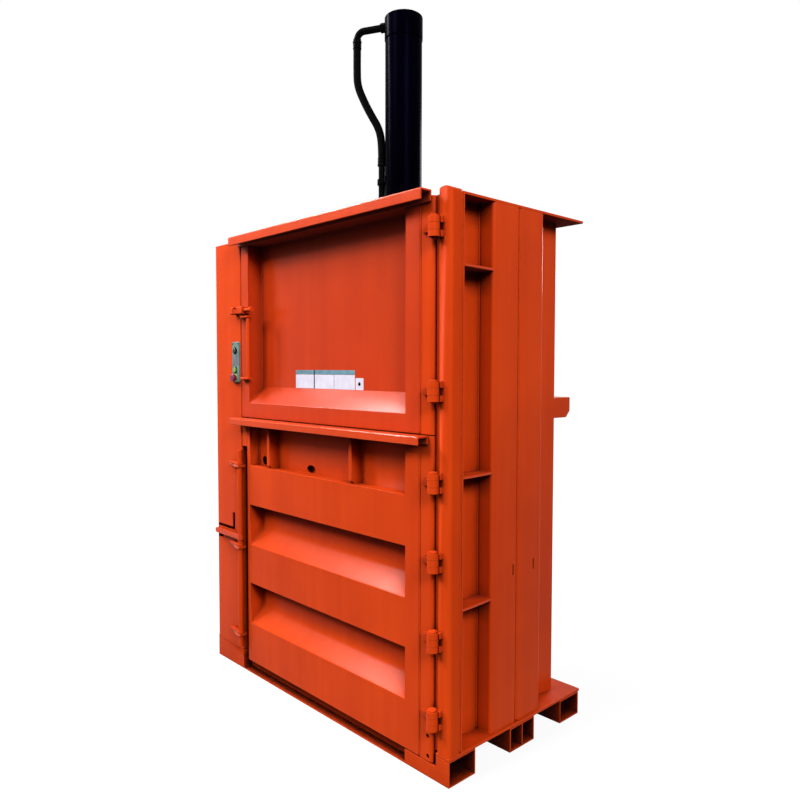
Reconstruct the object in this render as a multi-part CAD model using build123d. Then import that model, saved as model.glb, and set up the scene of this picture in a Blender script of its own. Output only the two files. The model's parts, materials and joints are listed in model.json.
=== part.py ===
from build123d import *
import math
import os

# Vertical downstroke baler of welded plate, with two side-hinged front doors.
# Frame: X to the right, Y to the back, Z up. The origin is on the floor, at the centre of the base plate.
# A depth is a distance behind the front plane, which is the front edge of the base plate.

# Base and skids
base_width = 1700.0
half_width = base_width / 2
base_depth = 860.0
front_y = -base_depth / 2
base_thick = 12.0
skid_height = 100.0
floor_top = skid_height + base_thick
skid_wall = 6.0
front_skid_depth = 150.0
middle_skid_front = 0.4198 * base_depth
middle_skid_depth = 162.0
rear_skid_depth = 142.0
rear_skid_inset = 8.0
kick_setback = 45.0
sill_gap = 3.0

# Chamber
right_bay = 95.0
chamber_right = half_width - right_bay
left_bay = 350.0
chamber_left = left_bay - half_width
wall_thick = 8.0
rear_ledge = 92.0
wall_back = base_depth - rear_ledge
top_height = 2196.0
split_height = 0.592 * top_height
top_thick = 10.0
top_bottom = top_height - top_thick
top_right = half_width - 10.0

# Posts at the front corners
post_depth = 65.0
hinge_post_width = 68.0
hinge_post_left = half_width - hinge_post_width
post_wall = 6.0
post_radius = 16.0
post_top = top_height - 4.0
cap_rise = 14.0
jamb_reach = 15.0
jamb_front = 14.0
jamb_depth = 20.0
latch_post_width = 253.0
latch_post_right = latch_post_width - half_width

# Columns and shelf plates on the right side, beam and columns at the back
column_front = 0.2907 * base_depth
column_depth = 0.1872 * base_depth
column_reach = 77.0
column_wall = 6.0
column_radius = 14.0
shelf_heights = tuple(share * top_height for share in (0.2987, 0.5241, 0.8802))
shelf_thick = 10.0
column_slot_height = shelf_heights[0] + 64.0
column_slot_long = 44.0
column_slot_wide = 8.0
column_slot_inset = 26.0
beam_bottom = split_height + 31.0
beam_height = 91.0
beam_reach = 122.0
beam_chamfer = 28.0
beam_wall = 6.0
rear_column_places = tuple(chamber_left + share * (chamber_right - chamber_left)
                           for share in (0.167, 0.598))
rear_column_width = 150.0
rear_column_reach = 76.0

# Doors
door_right = hinge_post_left - 19.0
hinge_stile_width = 73.0
stile_depth = 60.0
stile_radius = 14.0
stile_hole_inset = 23.0
stile_hole_rises = (20.0, 97.0)
stile_hole_radius = 8.0
door_depth = 90.0
door_sheet = 6.0
door_gap = 3.0
lower_door_bottom = 62.0
lower_door_left = latch_post_right + 51.0
upper_door_left = latch_post_right + 6.0
upper_door_top = top_height - 13.0
pan_left = lower_door_left + 26.0
pan_right = door_right - hinge_stile_width - 78.0
pan_width = pan_right - pan_left
pan_depth = 80.0
pan_bend = 60.0
ear_bottom = 0.8885 * split_height
pan_heights = ((0.1985 * split_height, 0.3562 * split_height),
               (0.5077 * split_height, 0.6631 * split_height))
pocket_bottom = 0.8177 * split_height
pocket_top = 0.9654 * split_height
pocket_depth = 58.0
pocket_plate_places = (pan_left + 0.1481 * pan_width, pan_left + 0.7035 * pan_width)
pocket_plate_thick = 20.0
pocket_notch = 13.0
pocket_holes = ((pan_left + 0.0442 * pan_width, 46.0, 44.0), (pan_left + 0.3906 * pan_width, 64.0, 36.0))
tray_left = upper_door_left + 67.0
sill_height = split_height + 76.0
tray_bottom = sill_height + pan_depth
tray_top = upper_door_top - 23.0
lip_reach = 60.0
lip_sheet = 8.0
lip_radius = 7.0
lip_left = latch_post_right - 15.0
lower_lip_right = door_right - 23.0
lower_lip_height = 33.0
upper_lip_right = door_right - 11.0
upper_lip_top = upper_door_top + 20.0
upper_lip_height = 43.0

# Hinges
hinge_x = hinge_post_left + 6.0
hinge_proud = 25.0
knuckle_radius = 22.0
knuckle_height = 74.0
door_knuckle_height = 26.0
knuckle_gap = 0.5
pin_radius = 10.0
pin_clearance = 0.06
pin_head_radius = 17.0
pin_head_height = 6.0
strap_thick = 14.0
post_strap_end = half_width - 36.0
door_strap_end = door_right - 45.0
lower_hinge_heights = tuple(share * split_height for share in (0.1892, 0.4162, 0.6438, 0.8692))
upper_hinge_heights = (0.6676 * top_height, 0.9385 * top_height)

# Latch shaft of the lower door, with hooks that swing over the door's edge
latch_x = latch_post_right + 15.0
latch_proud = 21.0
latch_shaft_radius = 13.0
latch_shaft_bottom = floor_top + 16.0
latch_shaft_top = 0.875 * split_height
latch_clearance = 0.4
latch_heights = tuple(share * split_height for share in (0.15, 0.4969, 0.8169))
bracket_thick = 12.0
bracket_reach = 40.0
bracket_span = 125.0
bracket_left = latch_post_right - bracket_span
hook_thick = 12.0
hook_length = 92.0
hook_root = 17.0
hook_tip = 7.0
lever_height = latch_heights[1] + 45.0
lever_length = 246.0
lever_deep = 14.0
lever_tall = 26.0
gate_thick = 16.0
gate_width = 24.0
gate_span = 173.0
gate_inset = 73.0
gate_right = latch_post_right - gate_inset
gate_left = gate_right - gate_span
gate_rise = 92.0
gate_bottom = lever_height + 17.0
gate_foot = lever_height - 42.0
gate_foot_long = 52.0
gate_foot_tall = 22.0

# Slide bolt and grip of the upper door
bolt_height = 0.837 * top_height
bolt_proud = 22.0
bolt_radius = 9.0
bolt_tip = upper_door_left + 1.0
bolt_length = 134.0
bolt_clearance = 0.4
bolt_block_left = upper_door_left + 16.0
bolt_block_width = 50.0
bolt_block_size = 36.0
keeper_right = latch_post_right - 14.0
keeper_width = 26.0
keeper_leg = 6.0
keeper_bridge = 5.0
grip_x = tray_left + 19.0
grip_proud = 14.0
grip_radius = 9.0
grip_bottom = 0.683 * top_height
grip_top = bolt_height - 32.0
grip_plate_thick = 10.0
grip_plate_left = upper_door_left + 12.0
grip_plate_slant = 20.0
grip_plate_reach = 28.0

# Push-button station, set into the latch post's front plate
station_left = latch_post_right - 74.0
station_right = latch_post_right - 8.0
station_top = 0.7668 * top_height
station_tall = 205.0
station_bottom = station_top - station_tall
station_proud = 9.0
station_sunk = 42.0
station_wall = 3.0
button_rises = (160.0, 62.0, 22.0)
button_radius = 13.0
button_clearance = 0.5
button_proud = 9.0
button_length = 26.0
button_names = ("up_button", "down_button", "stop_button")
stop_head_radius = 20.0
stop_head_thick = 14.0

# Hydraulic cylinder
cylinder_x = (chamber_left + chamber_right) / 2 + 2.5
cylinder_depth = 0.5174 * base_depth
barrel_radius = 86.0
bore_radius = 75.0
head_radius = 89.0
head_height = 104.0
head_plug = 20.0
flange_radius = 150.0
flange_thick = 28.0
flange_bolt_circle = 125.0
flange_bolt_count = 8
flange_bolt_radius = 10.0
gland_drop = 40.0
gland_radius = 78.0
rod_radius = 45.0
rod_clearance = 0.06
piston_thick = 60.0
piston_clearance = 0.08
piston_top_gap = 12.0
stroke = 860.0
stroke_margin = 5.0

# Oil pipes and the hose. The hose hangs in a plane through the cylinder's axis, and its points are
# distances from that axis and below the cylinder's top.
hose_side_angle = 207.0
pipe_radius = 16.0
port_radius = 11.0
port_drop = 30.0
elbow_reach = 235.5
elbow_bend = 36.0
union_radius = 23.0
union_length = 26.0
hose_radius = 18.5
ferrule_radius = 21.5
hose_drops = (
    (235.5, 110.0),
    (236.5, 202.0),
    (234.0, 281.0),
    (201.0, 357.0),
    (165.0, 425.0),
    (124.0, 493.0),
    (109.0, 560.0),
    (108.5, 634.0),
)
hose_arc_share = 0.45
ferrule_length = 38.0
pipe_bend = 60.0
pipe_run_height = top_height + 62.0
pipe_drop_inset = 160.0
pipe_drop_x = pipe_drop_inset - half_width
return_port_rise = 104.0
return_port_height = top_height + return_port_rise
return_drop_gap = 0.1 * base_depth
upper_clamp_rise = 224.0
lower_clamp_rise = 134.0
clamp_heights = (top_height + upper_clamp_rise, top_height + lower_clamp_rise)
clamp_tall = 26.0
clamp_thick = 6.0
clamp_span = 62.0

# Platen
platen_drop = 176.0
platen_bottom = top_height - platen_drop
platen_thick = 20.0
platen_gap = 9.0
platen_rib_height = 105.0
platen_rib_thick = 12.0
platen_rib_inset = 60.0
platen_front = 104.0
platen_back = wall_back - 20.0
rod_collar_radius = 85.0
rod_collar_height = 34.0
shoe_gap = 0.6
shoe_long = 110.0
shoe_tall = 100.0

# Side bay with the oil tank, pump, motor and switchgear
cover_thick = 3.0
cover_inset = 6.0
louvre_count = 8
louvre_pitch = 34.0
louvre_long = 240.0
louvre_tall = 10.0
louvre_bottom = 700.0
louvre_back = wall_back - 42.0
tank_left = 50.0 - half_width
tank_right = chamber_left - 60.0
tank_front = 0.36 * base_depth
tank_back = wall_back - 38.0
tank_height = 400.0
tank_wall = 4.0
tank_radius = 18.0
filler_radius = 28.0
filler_depth = 0.459 * base_depth
filler_inset = 36.0
motor_inset = 115.0
motor_depth = wall_back - motor_inset
bell_radius = 82.0
bell_height = 90.0
motor_radius = 88.0
motor_height = 260.0
terminal_reach = 34.0
terminal_low = 90.0
terminal_high = 180.0
fin_count = 24
fin_reach = 10.0
fin_thick = 4.0
cowl_radius = 102.0
cowl_height = 64.0
valve_size = 84.0
valve_height = 130.0
box_width = 170.0
box_gap = 10.0
box_depth = 0.2 * base_depth
box_bottom = 0.6284 * top_height
box_height = 520.0
box_wall = 2.0

notch_back = door_depth + 4.0
wall_front_right = post_depth
flange_front_left = door_depth + 3.0
barrel_bottom = top_height + flange_thick
platen_top = platen_bottom + platen_thick
piston_top = barrel_bottom + stroke_margin + stroke + piston_thick
cylinder_top = piston_top + piston_top_gap + head_plug
port_height = cylinder_top - port_drop
hose_route = [(offset, cylinder_top - drop) for offset, drop in hose_drops]


def block(x0, x1, d0, d1, z0, z1):
    """Solid between two corners, with d the depth behind the front plane."""
    middle = Pos((x0 + x1) / 2, front_y + (d0 + d1) / 2, (z0 + z1) / 2)
    return middle * Box(x1 - x0, d1 - d0, z1 - z0)


def along_x(points, x0, x1):
    """Extrude an outline of (depth, height) points from x0 to x1."""
    outline = Polyline(*[(front_y + d, z) for d, z in points], close=True)
    return extrude(Plane.YZ.offset(x0) * make_face(outline), amount=x1 - x0)


def upward(points, z0, z1):
    """Extrude an outline of (x, depth) points from z0 to z1."""
    outline = Polyline(*[(x, front_y + d) for x, d in points], close=True)
    return extrude(Plane.XY.offset(z0) * make_face(outline), amount=z1 - z0)


def rod(x, d, z0, z1, radius):
    """Vertical cylinder with its axis at x and depth d."""
    return Pos(x, front_y + d, (z0 + z1) / 2) * Cylinder(radius, z1 - z0)


def box_tube(x0, x1, d0, d1, z0, z1, wall, radius):
    """Upright rectangular tube with rounded corners."""
    place = Plane.XY.offset(z0) * Pos((x0 + x1) / 2, front_y + (d0 + d1) / 2)
    outer = RectangleRounded(x1 - x0, d1 - d0, radius)
    inner = RectangleRounded(x1 - x0 - 2 * wall, d1 - d0 - 2 * wall, radius - wall)
    return extrude(place * (outer - inner), amount=z1 - z0)


def row_of_holes(shape, x, d, heights, radius):
    """Cut round holes through a plate, along Y."""
    for z in heights:
        hole = Pos(x, front_y + d, z) * Rot(90, 0, 0) * Cylinder(radius, 4 * post_wall)
        shape = shape - hole
    return shape


def base_plate():
    plate = block(-half_width, half_width, 0, base_depth, skid_height, floor_top)
    notch = block(latch_post_right, hinge_post_left, -1, notch_back, skid_height - 1, floor_top + 1)
    return plate - notch


def front_skid():
    """Open-ended tube, cut down to a low sill under the doors and set back there as a kick strip."""
    sill_top = lower_door_bottom - sill_gap
    left = latch_post_right
    right = hinge_post_left
    outer = block(-half_width, half_width, 0, front_skid_depth, 0, skid_height)
    outer -= block(left, right, -1, notch_back, sill_top, skid_height + 1)
    outer -= block(left + skid_wall, pan_right, -1, kick_setback, skid_wall, skid_height)
    low = (skid_wall, sill_top - skid_wall)
    back = front_skid_depth - skid_wall
    inner = block(-half_width - 1, half_width + 1, kick_setback + skid_wall, back, *low)
    inner += block(-half_width - 1, half_width + 1, notch_back + skid_wall, back, low[0],
                   skid_height - skid_wall)
    inner += block(right + skid_wall, half_width + 1, skid_wall, back, low[0], skid_height - skid_wall)
    inner += block(-half_width - 1, left - skid_wall, skid_wall, back, low[0], skid_height - skid_wall)
    inner += block(pan_right + skid_wall, right + 2 * skid_wall, skid_wall, back, *low)
    return outer - inner


def skid(front, depth, cells):
    """Open-ended rectangular skid with one or more cells side by side."""
    outer = block(-half_width, half_width, front, front + depth, 0, skid_height)
    cell = (depth - skid_wall) / cells
    for i in range(cells):
        d0 = front + skid_wall + i * cell
        outer -= block(-half_width - 1, half_width + 1, d0, d0 + cell - skid_wall,
                       skid_wall, skid_height - skid_wall)
    return outer


def right_wall():
    """Chamber plate, folded outwards at the front to carry the hinge post."""
    outer = chamber_right + wall_thick
    plate = block(chamber_right, outer, wall_front_right, wall_back, floor_top, top_bottom)
    flange = block(outer, half_width, wall_front_right, wall_front_right + wall_thick, floor_top,
                   top_bottom)
    return plate + flange


def left_wall():
    """Chamber plate, folded outwards behind the door's edge and forwards to the latch post."""
    outer = chamber_left - wall_thick
    jamb = latch_post_right - wall_thick
    outline = [
        (chamber_left, wall_back),
        (chamber_left, flange_front_left),
        (latch_post_right, flange_front_left),
        (latch_post_right, post_depth),
        (jamb, post_depth),
        (jamb, flange_front_left + wall_thick),
        (outer, flange_front_left + wall_thick),
        (outer, wall_back),
    ]
    return upward(outline, floor_top, top_bottom)


def rear_wall():
    return block(chamber_left, chamber_right, wall_back - wall_thick, wall_back, floor_top, top_bottom)


def hinge_post():
    """Upright tube with a domed cap above the top plate, and a strip that closes the doors' hinge gap."""
    tube = box_tube(hinge_post_left, half_width, 0, post_depth, floor_top, post_top, post_wall,
                    post_radius)
    middle = hinge_post_left + hinge_post_width / 2
    dome = make_face(
        Polyline((hinge_post_left, post_top), (middle - hinge_post_width / 2, post_top - post_wall),
                 (half_width, post_top - post_wall), (half_width, post_top))
        + ThreePointArc((hinge_post_left, post_top), (middle, post_top + cap_rise),
                        (half_width, post_top)))
    cap = extrude(Plane.XZ.offset(-front_y) * dome, amount=-post_depth)
    rounds = extrude(Plane.XY.offset(floor_top) * Pos(middle, front_y + post_depth / 2)
                     * RectangleRounded(hinge_post_width, post_depth, post_radius),
                     amount=post_top + 2 * cap_rise - floor_top)
    jamb = block(hinge_post_left - jamb_reach, hinge_post_left + post_wall / 2, jamb_front,
                 jamb_front + jamb_depth, floor_top, upper_door_top)
    return tube + (cap & rounds) + jamb


def latch_post():
    """Wide box post with a recess for the push-button station and a gate slot over the lever."""
    place = Plane.XY.offset(floor_top) * Pos((latch_post_right - half_width) / 2,
                                             front_y + post_depth / 2)
    outer = RectangleRounded(latch_post_width, post_depth, post_radius / 2)
    inner = Rectangle(latch_post_width - 2 * post_wall, post_depth - 2 * post_wall)
    post = extrude(place * (outer - inner), amount=post_top - floor_top)
    cap = extrude(place * outer, amount=post_wall)
    post += Pos(0, 0, post_top - floor_top - post_wall) * cap
    post -= block(station_left, station_right, -1, post_wall + 1, station_bottom, station_top)
    post -= block(gate_left, gate_right, -1, post_wall + 1, gate_bottom, gate_bottom + gate_thick)
    post -= block(gate_right - gate_width, gate_right, -1, post_wall + 1, gate_bottom,
                  gate_bottom + gate_rise)
    return post - block(gate_left, gate_left + gate_foot_long, -1, post_wall + 1, gate_foot,
                        gate_foot + gate_foot_tall)


def right_column(index):
    """Stiffening tube welded to the chamber wall, one of two side by side."""
    x0 = chamber_right + wall_thick
    d0 = column_front + index * column_depth
    tube = box_tube(x0, x0 + column_reach, d0, d0 + column_depth, floor_top, top_bottom, column_wall,
                    column_radius)
    d_slot = d0 + (column_depth - column_slot_inset if index == 0 else column_depth - 2 * column_slot_inset)
    slot = block(x0 + column_reach - 2 * column_wall, x0 + column_reach + 1,
                 d_slot - column_slot_wide / 2, d_slot + column_slot_wide / 2,
                 column_slot_height, column_slot_height + column_slot_long)
    return tube - slot


def shelf_plates():
    """Horizontal gussets that tie the hinge post's flange to the front column."""
    x0 = chamber_right + wall_thick
    d0 = wall_front_right + wall_thick
    outline = [
        (x0, d0),
        (half_width, d0),
        (half_width, d0 + 30),
        (x0 + column_reach, column_front),
        (x0, column_front),
    ]
    shelves = [upward(outline, z - shelf_thick, z) for z in shelf_heights]
    return Compound(children=shelves)


def top_plate():
    """Roof plate, cut away over both door posts and drilled for the rod and the pipes."""
    plate = block(-half_width, top_right, post_depth + 1, base_depth, top_bottom, top_height)
    plate -= rod(cylinder_x, cylinder_depth, top_bottom - 1, top_height + 1, gland_radius)
    for x, d in pipe_drops():
        plate -= rod(x, d, top_bottom - 1, top_height + 1, pipe_radius + 3)
    return plate


def rear_beam():
    """Closed box beam across the back, chamfered along its lower rear edge."""
    def section(inset):
        reach = beam_reach - inset
        bottom = beam_bottom + inset
        top = beam_bottom + beam_height - inset
        cut = beam_chamfer - inset * (2 - math.sqrt(2))
        return [
            (wall_back + inset, bottom),
            (wall_back + reach - cut, bottom),
            (wall_back + reach, bottom + cut),
            (wall_back + reach, top),
            (wall_back + inset, top),
        ]
    x0 = chamber_left - wall_thick
    x1 = chamber_right + wall_thick
    return along_x(section(0), x0, x1) - along_x(section(beam_wall), x0 + beam_wall, x1 - beam_wall)


def rear_columns():
    """Stiffening tubes on the rear wall, above and below the beam."""
    pieces = []
    for x in rear_column_places:
        for z0, z1 in ((floor_top, beam_bottom), (beam_bottom + beam_height, top_bottom)):
            pieces.append(box_tube(x - rear_column_width / 2, x + rear_column_width / 2, wall_back,
                                   wall_back + rear_column_reach, z0, z1, column_wall, column_radius))
    return Compound(children=pieces)


def recess(points, x0=pan_left, x1=pan_right):
    return along_x(points, x0, x1)


def lower_door_panel():
    """Hollow welded shell with two sloped pans and a row of pockets."""
    top = split_height
    bottom = lower_door_bottom
    right = door_right - hinge_stile_width
    sheet = door_sheet
    panel = block(lower_door_left, right, 0, stile_depth, bottom, top)
    panel += block(pan_left - sheet, pan_right + sheet, 0, door_depth, bottom, top)
    for z0, z1 in pan_heights:
        pan = recess([(-1, z0 - 1), (pan_depth, z0 + pan_depth), (pan_depth, z1), (-1, z1)])
        crease = pan.edges().filter_by(Axis.X).group_by(Axis.Y)[-1].sort_by(Axis.Z)[0]
        panel -= fillet(crease, pan_bend)
    panel -= recess([(-1, pocket_bottom), (pocket_depth, pocket_bottom), (pocket_depth, pocket_top),
                     (-1, pocket_top)])
    inner = door_depth - sheet
    slant = sheet * math.sqrt(2)
    floor = bottom + sheet
    for z0, z1 in pan_heights:
        panel -= recess([(sheet, floor), (inner, floor), (inner, z0 + inner - slant),
                         (sheet, z0 + sheet - slant)])
        floor = z1 + sheet
    panel -= recess([(sheet, floor), (inner, floor), (inner, top - sheet),
                     (pocket_depth + sheet, top - sheet), (pocket_depth + sheet, pocket_bottom - sheet),
                     (sheet, pocket_bottom - sheet)])
    for x0, x1 in ((lower_door_left, pan_left), (pan_right, right)):
        panel -= block(x0 + sheet, x1 - sheet, sheet, stile_depth - sheet, bottom + sheet, top - sheet)
    for x, wide, tall in pocket_holes:
        z = pocket_bottom + tall / 2 + 2
        slot = Plane.XZ.offset(-front_y - pocket_depth + 1) * Pos(x, z) * Ellipse(wide / 2, tall / 2)
        panel -= extrude(slot, amount=-sheet - 2)
    return panel


def lower_door_ear():
    """Hollow box on the lower door's edge that covers the gap above the latch shaft."""
    sheet = door_sheet
    ear = block(upper_door_left, lower_door_left, 0, stile_depth, ear_bottom, split_height)
    return ear - block(upper_door_left + sheet, lower_door_left - sheet, sheet, stile_depth - sheet,
                       ear_bottom + sheet, split_height - sheet)


def upper_door_panel():
    """Welded tray with a sloped sill, hollow stiles and a plain back plate."""
    top = upper_door_top
    bottom = split_height + door_gap
    right = door_right - hinge_stile_width
    sheet = door_sheet
    panel = block(upper_door_left, right, 0, stile_depth, bottom, top)
    panel += block(tray_left - sheet, pan_right + sheet, 0, door_depth, bottom, top)
    panel -= recess([(-1, sill_height), (0, sill_height), (pan_depth, tray_bottom),
                     (pan_depth, tray_top), (-1, tray_top)], tray_left, pan_right)
    inner = door_depth - sheet
    slant = sheet * math.sqrt(2)
    panel -= recess([(sheet, bottom + sheet), (inner, bottom + sheet),
                     (inner, sill_height + inner - slant), (sheet, sill_height + sheet - slant)],
                    tray_left, pan_right)
    panel -= recess([(sheet, tray_top + sheet), (inner, tray_top + sheet), (inner, top - sheet),
                     (sheet, top - sheet)], tray_left, pan_right)
    for x0, x1 in ((upper_door_left, tray_left), (pan_right, right)):
        panel -= block(x0 + sheet, x1 - sheet, sheet, stile_depth - sheet, bottom + sheet, top - sheet)
    return panel


def hinge_stile(z0, z1, hole_rises=()):
    """Rounded tube that carries a door's hinges, with drain and lifting holes at its foot."""
    tube = box_tube(door_right - hinge_stile_width, door_right, 0, stile_depth, z0, z1, door_sheet,
                    stile_radius)
    return row_of_holes(tube, door_right - stile_hole_inset, 0, [z0 + rise for rise in hole_rises],
                        stile_hole_radius)


def door_lip(x1, top, height):
    """Folded channel along a door's top edge, standing out in front and open below."""
    section = [
        (0, top),
        (-lip_reach, top),
        (-lip_reach, top - height),
        (-lip_reach + lip_sheet, top - height),
        (-lip_reach + lip_sheet, top - lip_sheet),
        (-lip_sheet, top - lip_sheet),
        (-lip_sheet, top - height),
        (0, top - height),
    ]
    lip = along_x(section, lip_left, x1)
    front_top = lip.edges().filter_by(Axis.X).group_by(Axis.Z)[-1].sort_by(Axis.Y)[0]
    return fillet(front_top, lip_radius)


def pocket_plates():
    """Gussets that divide the pocket row, notched at the foot over the weld."""
    plates = []
    for x in pocket_plate_places:
        x0 = x - pocket_plate_thick / 2
        plate = block(x0, x0 + pocket_plate_thick, 0, pocket_depth, pocket_bottom, pocket_top)
        notch = Pos(x, front_y, pocket_bottom) * Rot(0, 90, 0) * Cylinder(pocket_notch,
                                                                         2 * pocket_plate_thick)
        plates.append(plate - notch)
    return Compound(children=plates)


def knuckle(z, z0, z1, strap_end):
    """One hinge barrel with its welded strap, bored for the pin."""
    axis_y = front_y - hinge_proud
    barrel = Pos(hinge_x, axis_y, z + (z0 + z1) / 2) * Cylinder(knuckle_radius, z1 - z0)
    strap = block(min(strap_end, hinge_x), max(strap_end, hinge_x), -strap_thick, 0, z + z0, z + z1)
    bore = Pos(hinge_x, axis_y, z) * Cylinder(pin_radius + pin_clearance, 2 * knuckle_height)
    return barrel + strap - bore


def post_knuckles():
    """Upper and lower barrel of each hinge, welded to the post."""
    inner = door_knuckle_height / 2 + knuckle_gap
    outer = knuckle_height / 2
    pieces = []
    for z in lower_hinge_heights + upper_hinge_heights:
        pieces.append(knuckle(z, inner, outer, post_strap_end))
        pieces.append(knuckle(z, -outer, -inner, post_strap_end))
    return Compound(children=pieces)


def door_knuckles(heights):
    """Middle barrel of each hinge, welded to the door's stile."""
    half = door_knuckle_height / 2
    return Compound(children=[knuckle(z, -half, half, door_strap_end) for z in heights])


def hinge_pins():
    """Headed pins dropped through the barrels."""
    pins = []
    outer = knuckle_height / 2
    for z in lower_hinge_heights + upper_hinge_heights:
        shank = rod(hinge_x, -hinge_proud, z - outer - 6, z + outer, pin_radius)
        head = rod(hinge_x, -hinge_proud, z + outer, z + outer + pin_head_height, pin_head_radius)
        head = fillet(head.edges().group_by(Axis.Z)[-1], 3)
        pins.append(shank + head)
    return Compound(children=pins)


def latch_brackets():
    """Bearing plates of the latch shaft, welded to the post's face."""
    brackets = []
    outline = [
        (bracket_left, 0),
        (latch_x - hook_root, -bracket_reach),
        (latch_x + hook_root, -bracket_reach),
        (latch_x + hook_root, 0),
    ]
    for z in latch_heights:
        plate = upward(outline, z - bracket_thick, z)
        bore = rod(latch_x, -latch_proud, z - 2 * bracket_thick, z + bracket_thick,
                   latch_shaft_radius + latch_clearance)
        brackets.append(plate - bore)
    return Compound(children=brackets)


def latch_shaft():
    """Upright shaft with one hook over each bracket, parked over the post."""
    shaft = rod(latch_x, -latch_proud, latch_shaft_bottom, latch_shaft_top, latch_shaft_radius)
    shaft = chamfer(shaft.edges(), 2)
    for z in latch_heights:
        z0 = z + latch_clearance
        outline = [
            (latch_x, -latch_proud - hook_root),
            (latch_x - hook_length, -latch_proud - hook_tip),
            (latch_x - hook_length, -latch_proud + hook_tip),
            (latch_x, -latch_proud + hook_root),
        ]
        shaft += upward(outline, z0, z0 + hook_thick)
        shaft += rod(latch_x, -latch_proud, z0, z0 + hook_thick, hook_root)
    return shaft


def latch_lever():
    """Flat hand lever with a rounded end, clamped on the shaft by its hub."""
    hub = rod(latch_x, -latch_proud, lever_height - lever_tall / 2, lever_height + lever_tall / 2,
              hook_root)
    bar = block(latch_x - lever_length, latch_x, -latch_proud - lever_deep / 2,
                -latch_proud + lever_deep / 2, lever_height - lever_tall / 2,
                lever_height + lever_tall / 2)
    tip = bar.edges().filter_by(Axis.Y).group_by(Axis.X)[0]
    bar = fillet(tip, lever_tall / 2.2)
    bore = rod(latch_x, -latch_proud, lever_height - lever_tall, lever_height + lever_tall,
               latch_shaft_radius)
    return hub + bar - bore


def bar_along_x(x0, x1, d, z, radius):
    """Horizontal cylinder along X."""
    return Pos((x0 + x1) / 2, front_y + d, z) * Rot(0, 90, 0) * Cylinder(radius, x1 - x0)


def bolt_housing():
    """Drilled block on the upper door's stile that the slide bolt runs in."""
    x0 = bolt_block_left
    x1 = x0 + bolt_block_width
    half = bolt_block_size / 2
    housing = block(x0, x1, -bolt_proud - half + 2, 0, bolt_height - half, bolt_height + half)
    housing = fillet(housing.edges().filter_by(Axis.X).group_by(Axis.Y)[0], 6)
    return housing - bar_along_x(x0 - 1, x1 + 1, -bolt_proud, bolt_height, bolt_radius + bolt_clearance)


def slide_bolt():
    """Round bolt with a turned knob, drawn back clear of its keeper."""
    knob_x = bolt_tip + bolt_length
    bolt = bar_along_x(bolt_tip, knob_x, -bolt_proud, bolt_height, bolt_radius)
    bolt = chamfer(bolt.edges().group_by(Axis.X)[0], 3)
    knob = bar_along_x(knob_x - 14, knob_x, -bolt_proud, bolt_height, bolt_radius + 5)
    return bolt + fillet(knob.edges(), 4)


def bolt_keeper():
    """Staple of bent flat bar on the latch post that takes the bolt's tip."""
    half = bolt_block_size / 2
    reach = bolt_proud + half - 2
    keeper = block(keeper_right - keeper_width, keeper_right, -reach, 0, bolt_height - half,
                   bolt_height + half)
    keeper = fillet(keeper.edges().filter_by(Axis.X).group_by(Axis.Y)[0], keeper_leg)
    return keeper - block(keeper_right - keeper_width - 1, keeper_right + 1, keeper_bridge - reach, 1,
                          bolt_height - half + keeper_leg, bolt_height + half - keeper_leg)


def door_grip():
    """Round bar along the tray's edge, between two end plates welded to the upper door's stile."""
    bar = rod(grip_x, -grip_proud, grip_bottom, grip_top, grip_radius)
    for z in (grip_bottom, grip_top):
        outline = [
            (grip_plate_left, 0),
            (grip_plate_left + grip_plate_slant, -grip_plate_reach),
            (grip_x + grip_radius + 4, -grip_plate_reach),
            (grip_x + grip_radius + 4, 0),
        ]
        bar += upward(outline, z - grip_plate_thick / 2, z + grip_plate_thick / 2)
    return bar


def station_body():
    """Switch box sunk in the post, with a drilled face for the buttons."""
    body = block(station_left, station_right, -station_proud, station_sunk, station_bottom, station_top)
    body = fillet(body.edges().filter_by(Axis.Y), 5)
    body = fillet(body.edges().group_by(Axis.Y)[0], 2)
    wall = station_wall
    body -= block(station_left + wall, station_right - wall, -station_proud + wall, station_sunk - wall,
                  station_bottom + wall, station_top - wall)
    for i in range(len(button_names)):
        body -= button_shank(i, button_radius + button_clearance, station_proud + 1)
    return body


def button_shank(index, radius, proud):
    x = (station_left + station_right) / 2
    z = station_bottom + button_rises[index]
    middle = front_y - proud + button_length / 2
    return Pos(x, middle, z) * Rot(90, 0, 0) * Cylinder(radius, button_length)


def push_button(index):
    """Button with a crowned face."""
    shank = button_shank(index, button_radius, station_proud + button_proud)
    return fillet(shank.edges().group_by(Axis.Y)[0], 3)


def stop_button():
    """Emergency stop: a shank with a mushroom head, clear of the station's face by more than its travel."""
    index = button_names.index("stop_button")
    proud = station_proud + button_proud
    place = Pos((station_left + station_right) / 2, front_y - proud - stop_head_thick / 2,
                station_bottom + button_rises[index])
    head = place * Rot(90, 0, 0) * Cylinder(stop_head_radius, stop_head_thick)
    head = fillet(head.edges().group_by(Axis.Y)[0], 6)
    return button_shank(index, button_radius, proud) + head


def ring(outer, inner, z0, z1):
    """Turned ring on the cylinder's axis."""
    return (rod(cylinder_x, cylinder_depth, z0, z1, outer)
            - rod(cylinder_x, cylinder_depth, z0 - 1, z1 + 1, inner))


def cylinder_barrel():
    tube = ring(barrel_radius, bore_radius, barrel_bottom, cylinder_top - head_height)
    return tube


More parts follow.
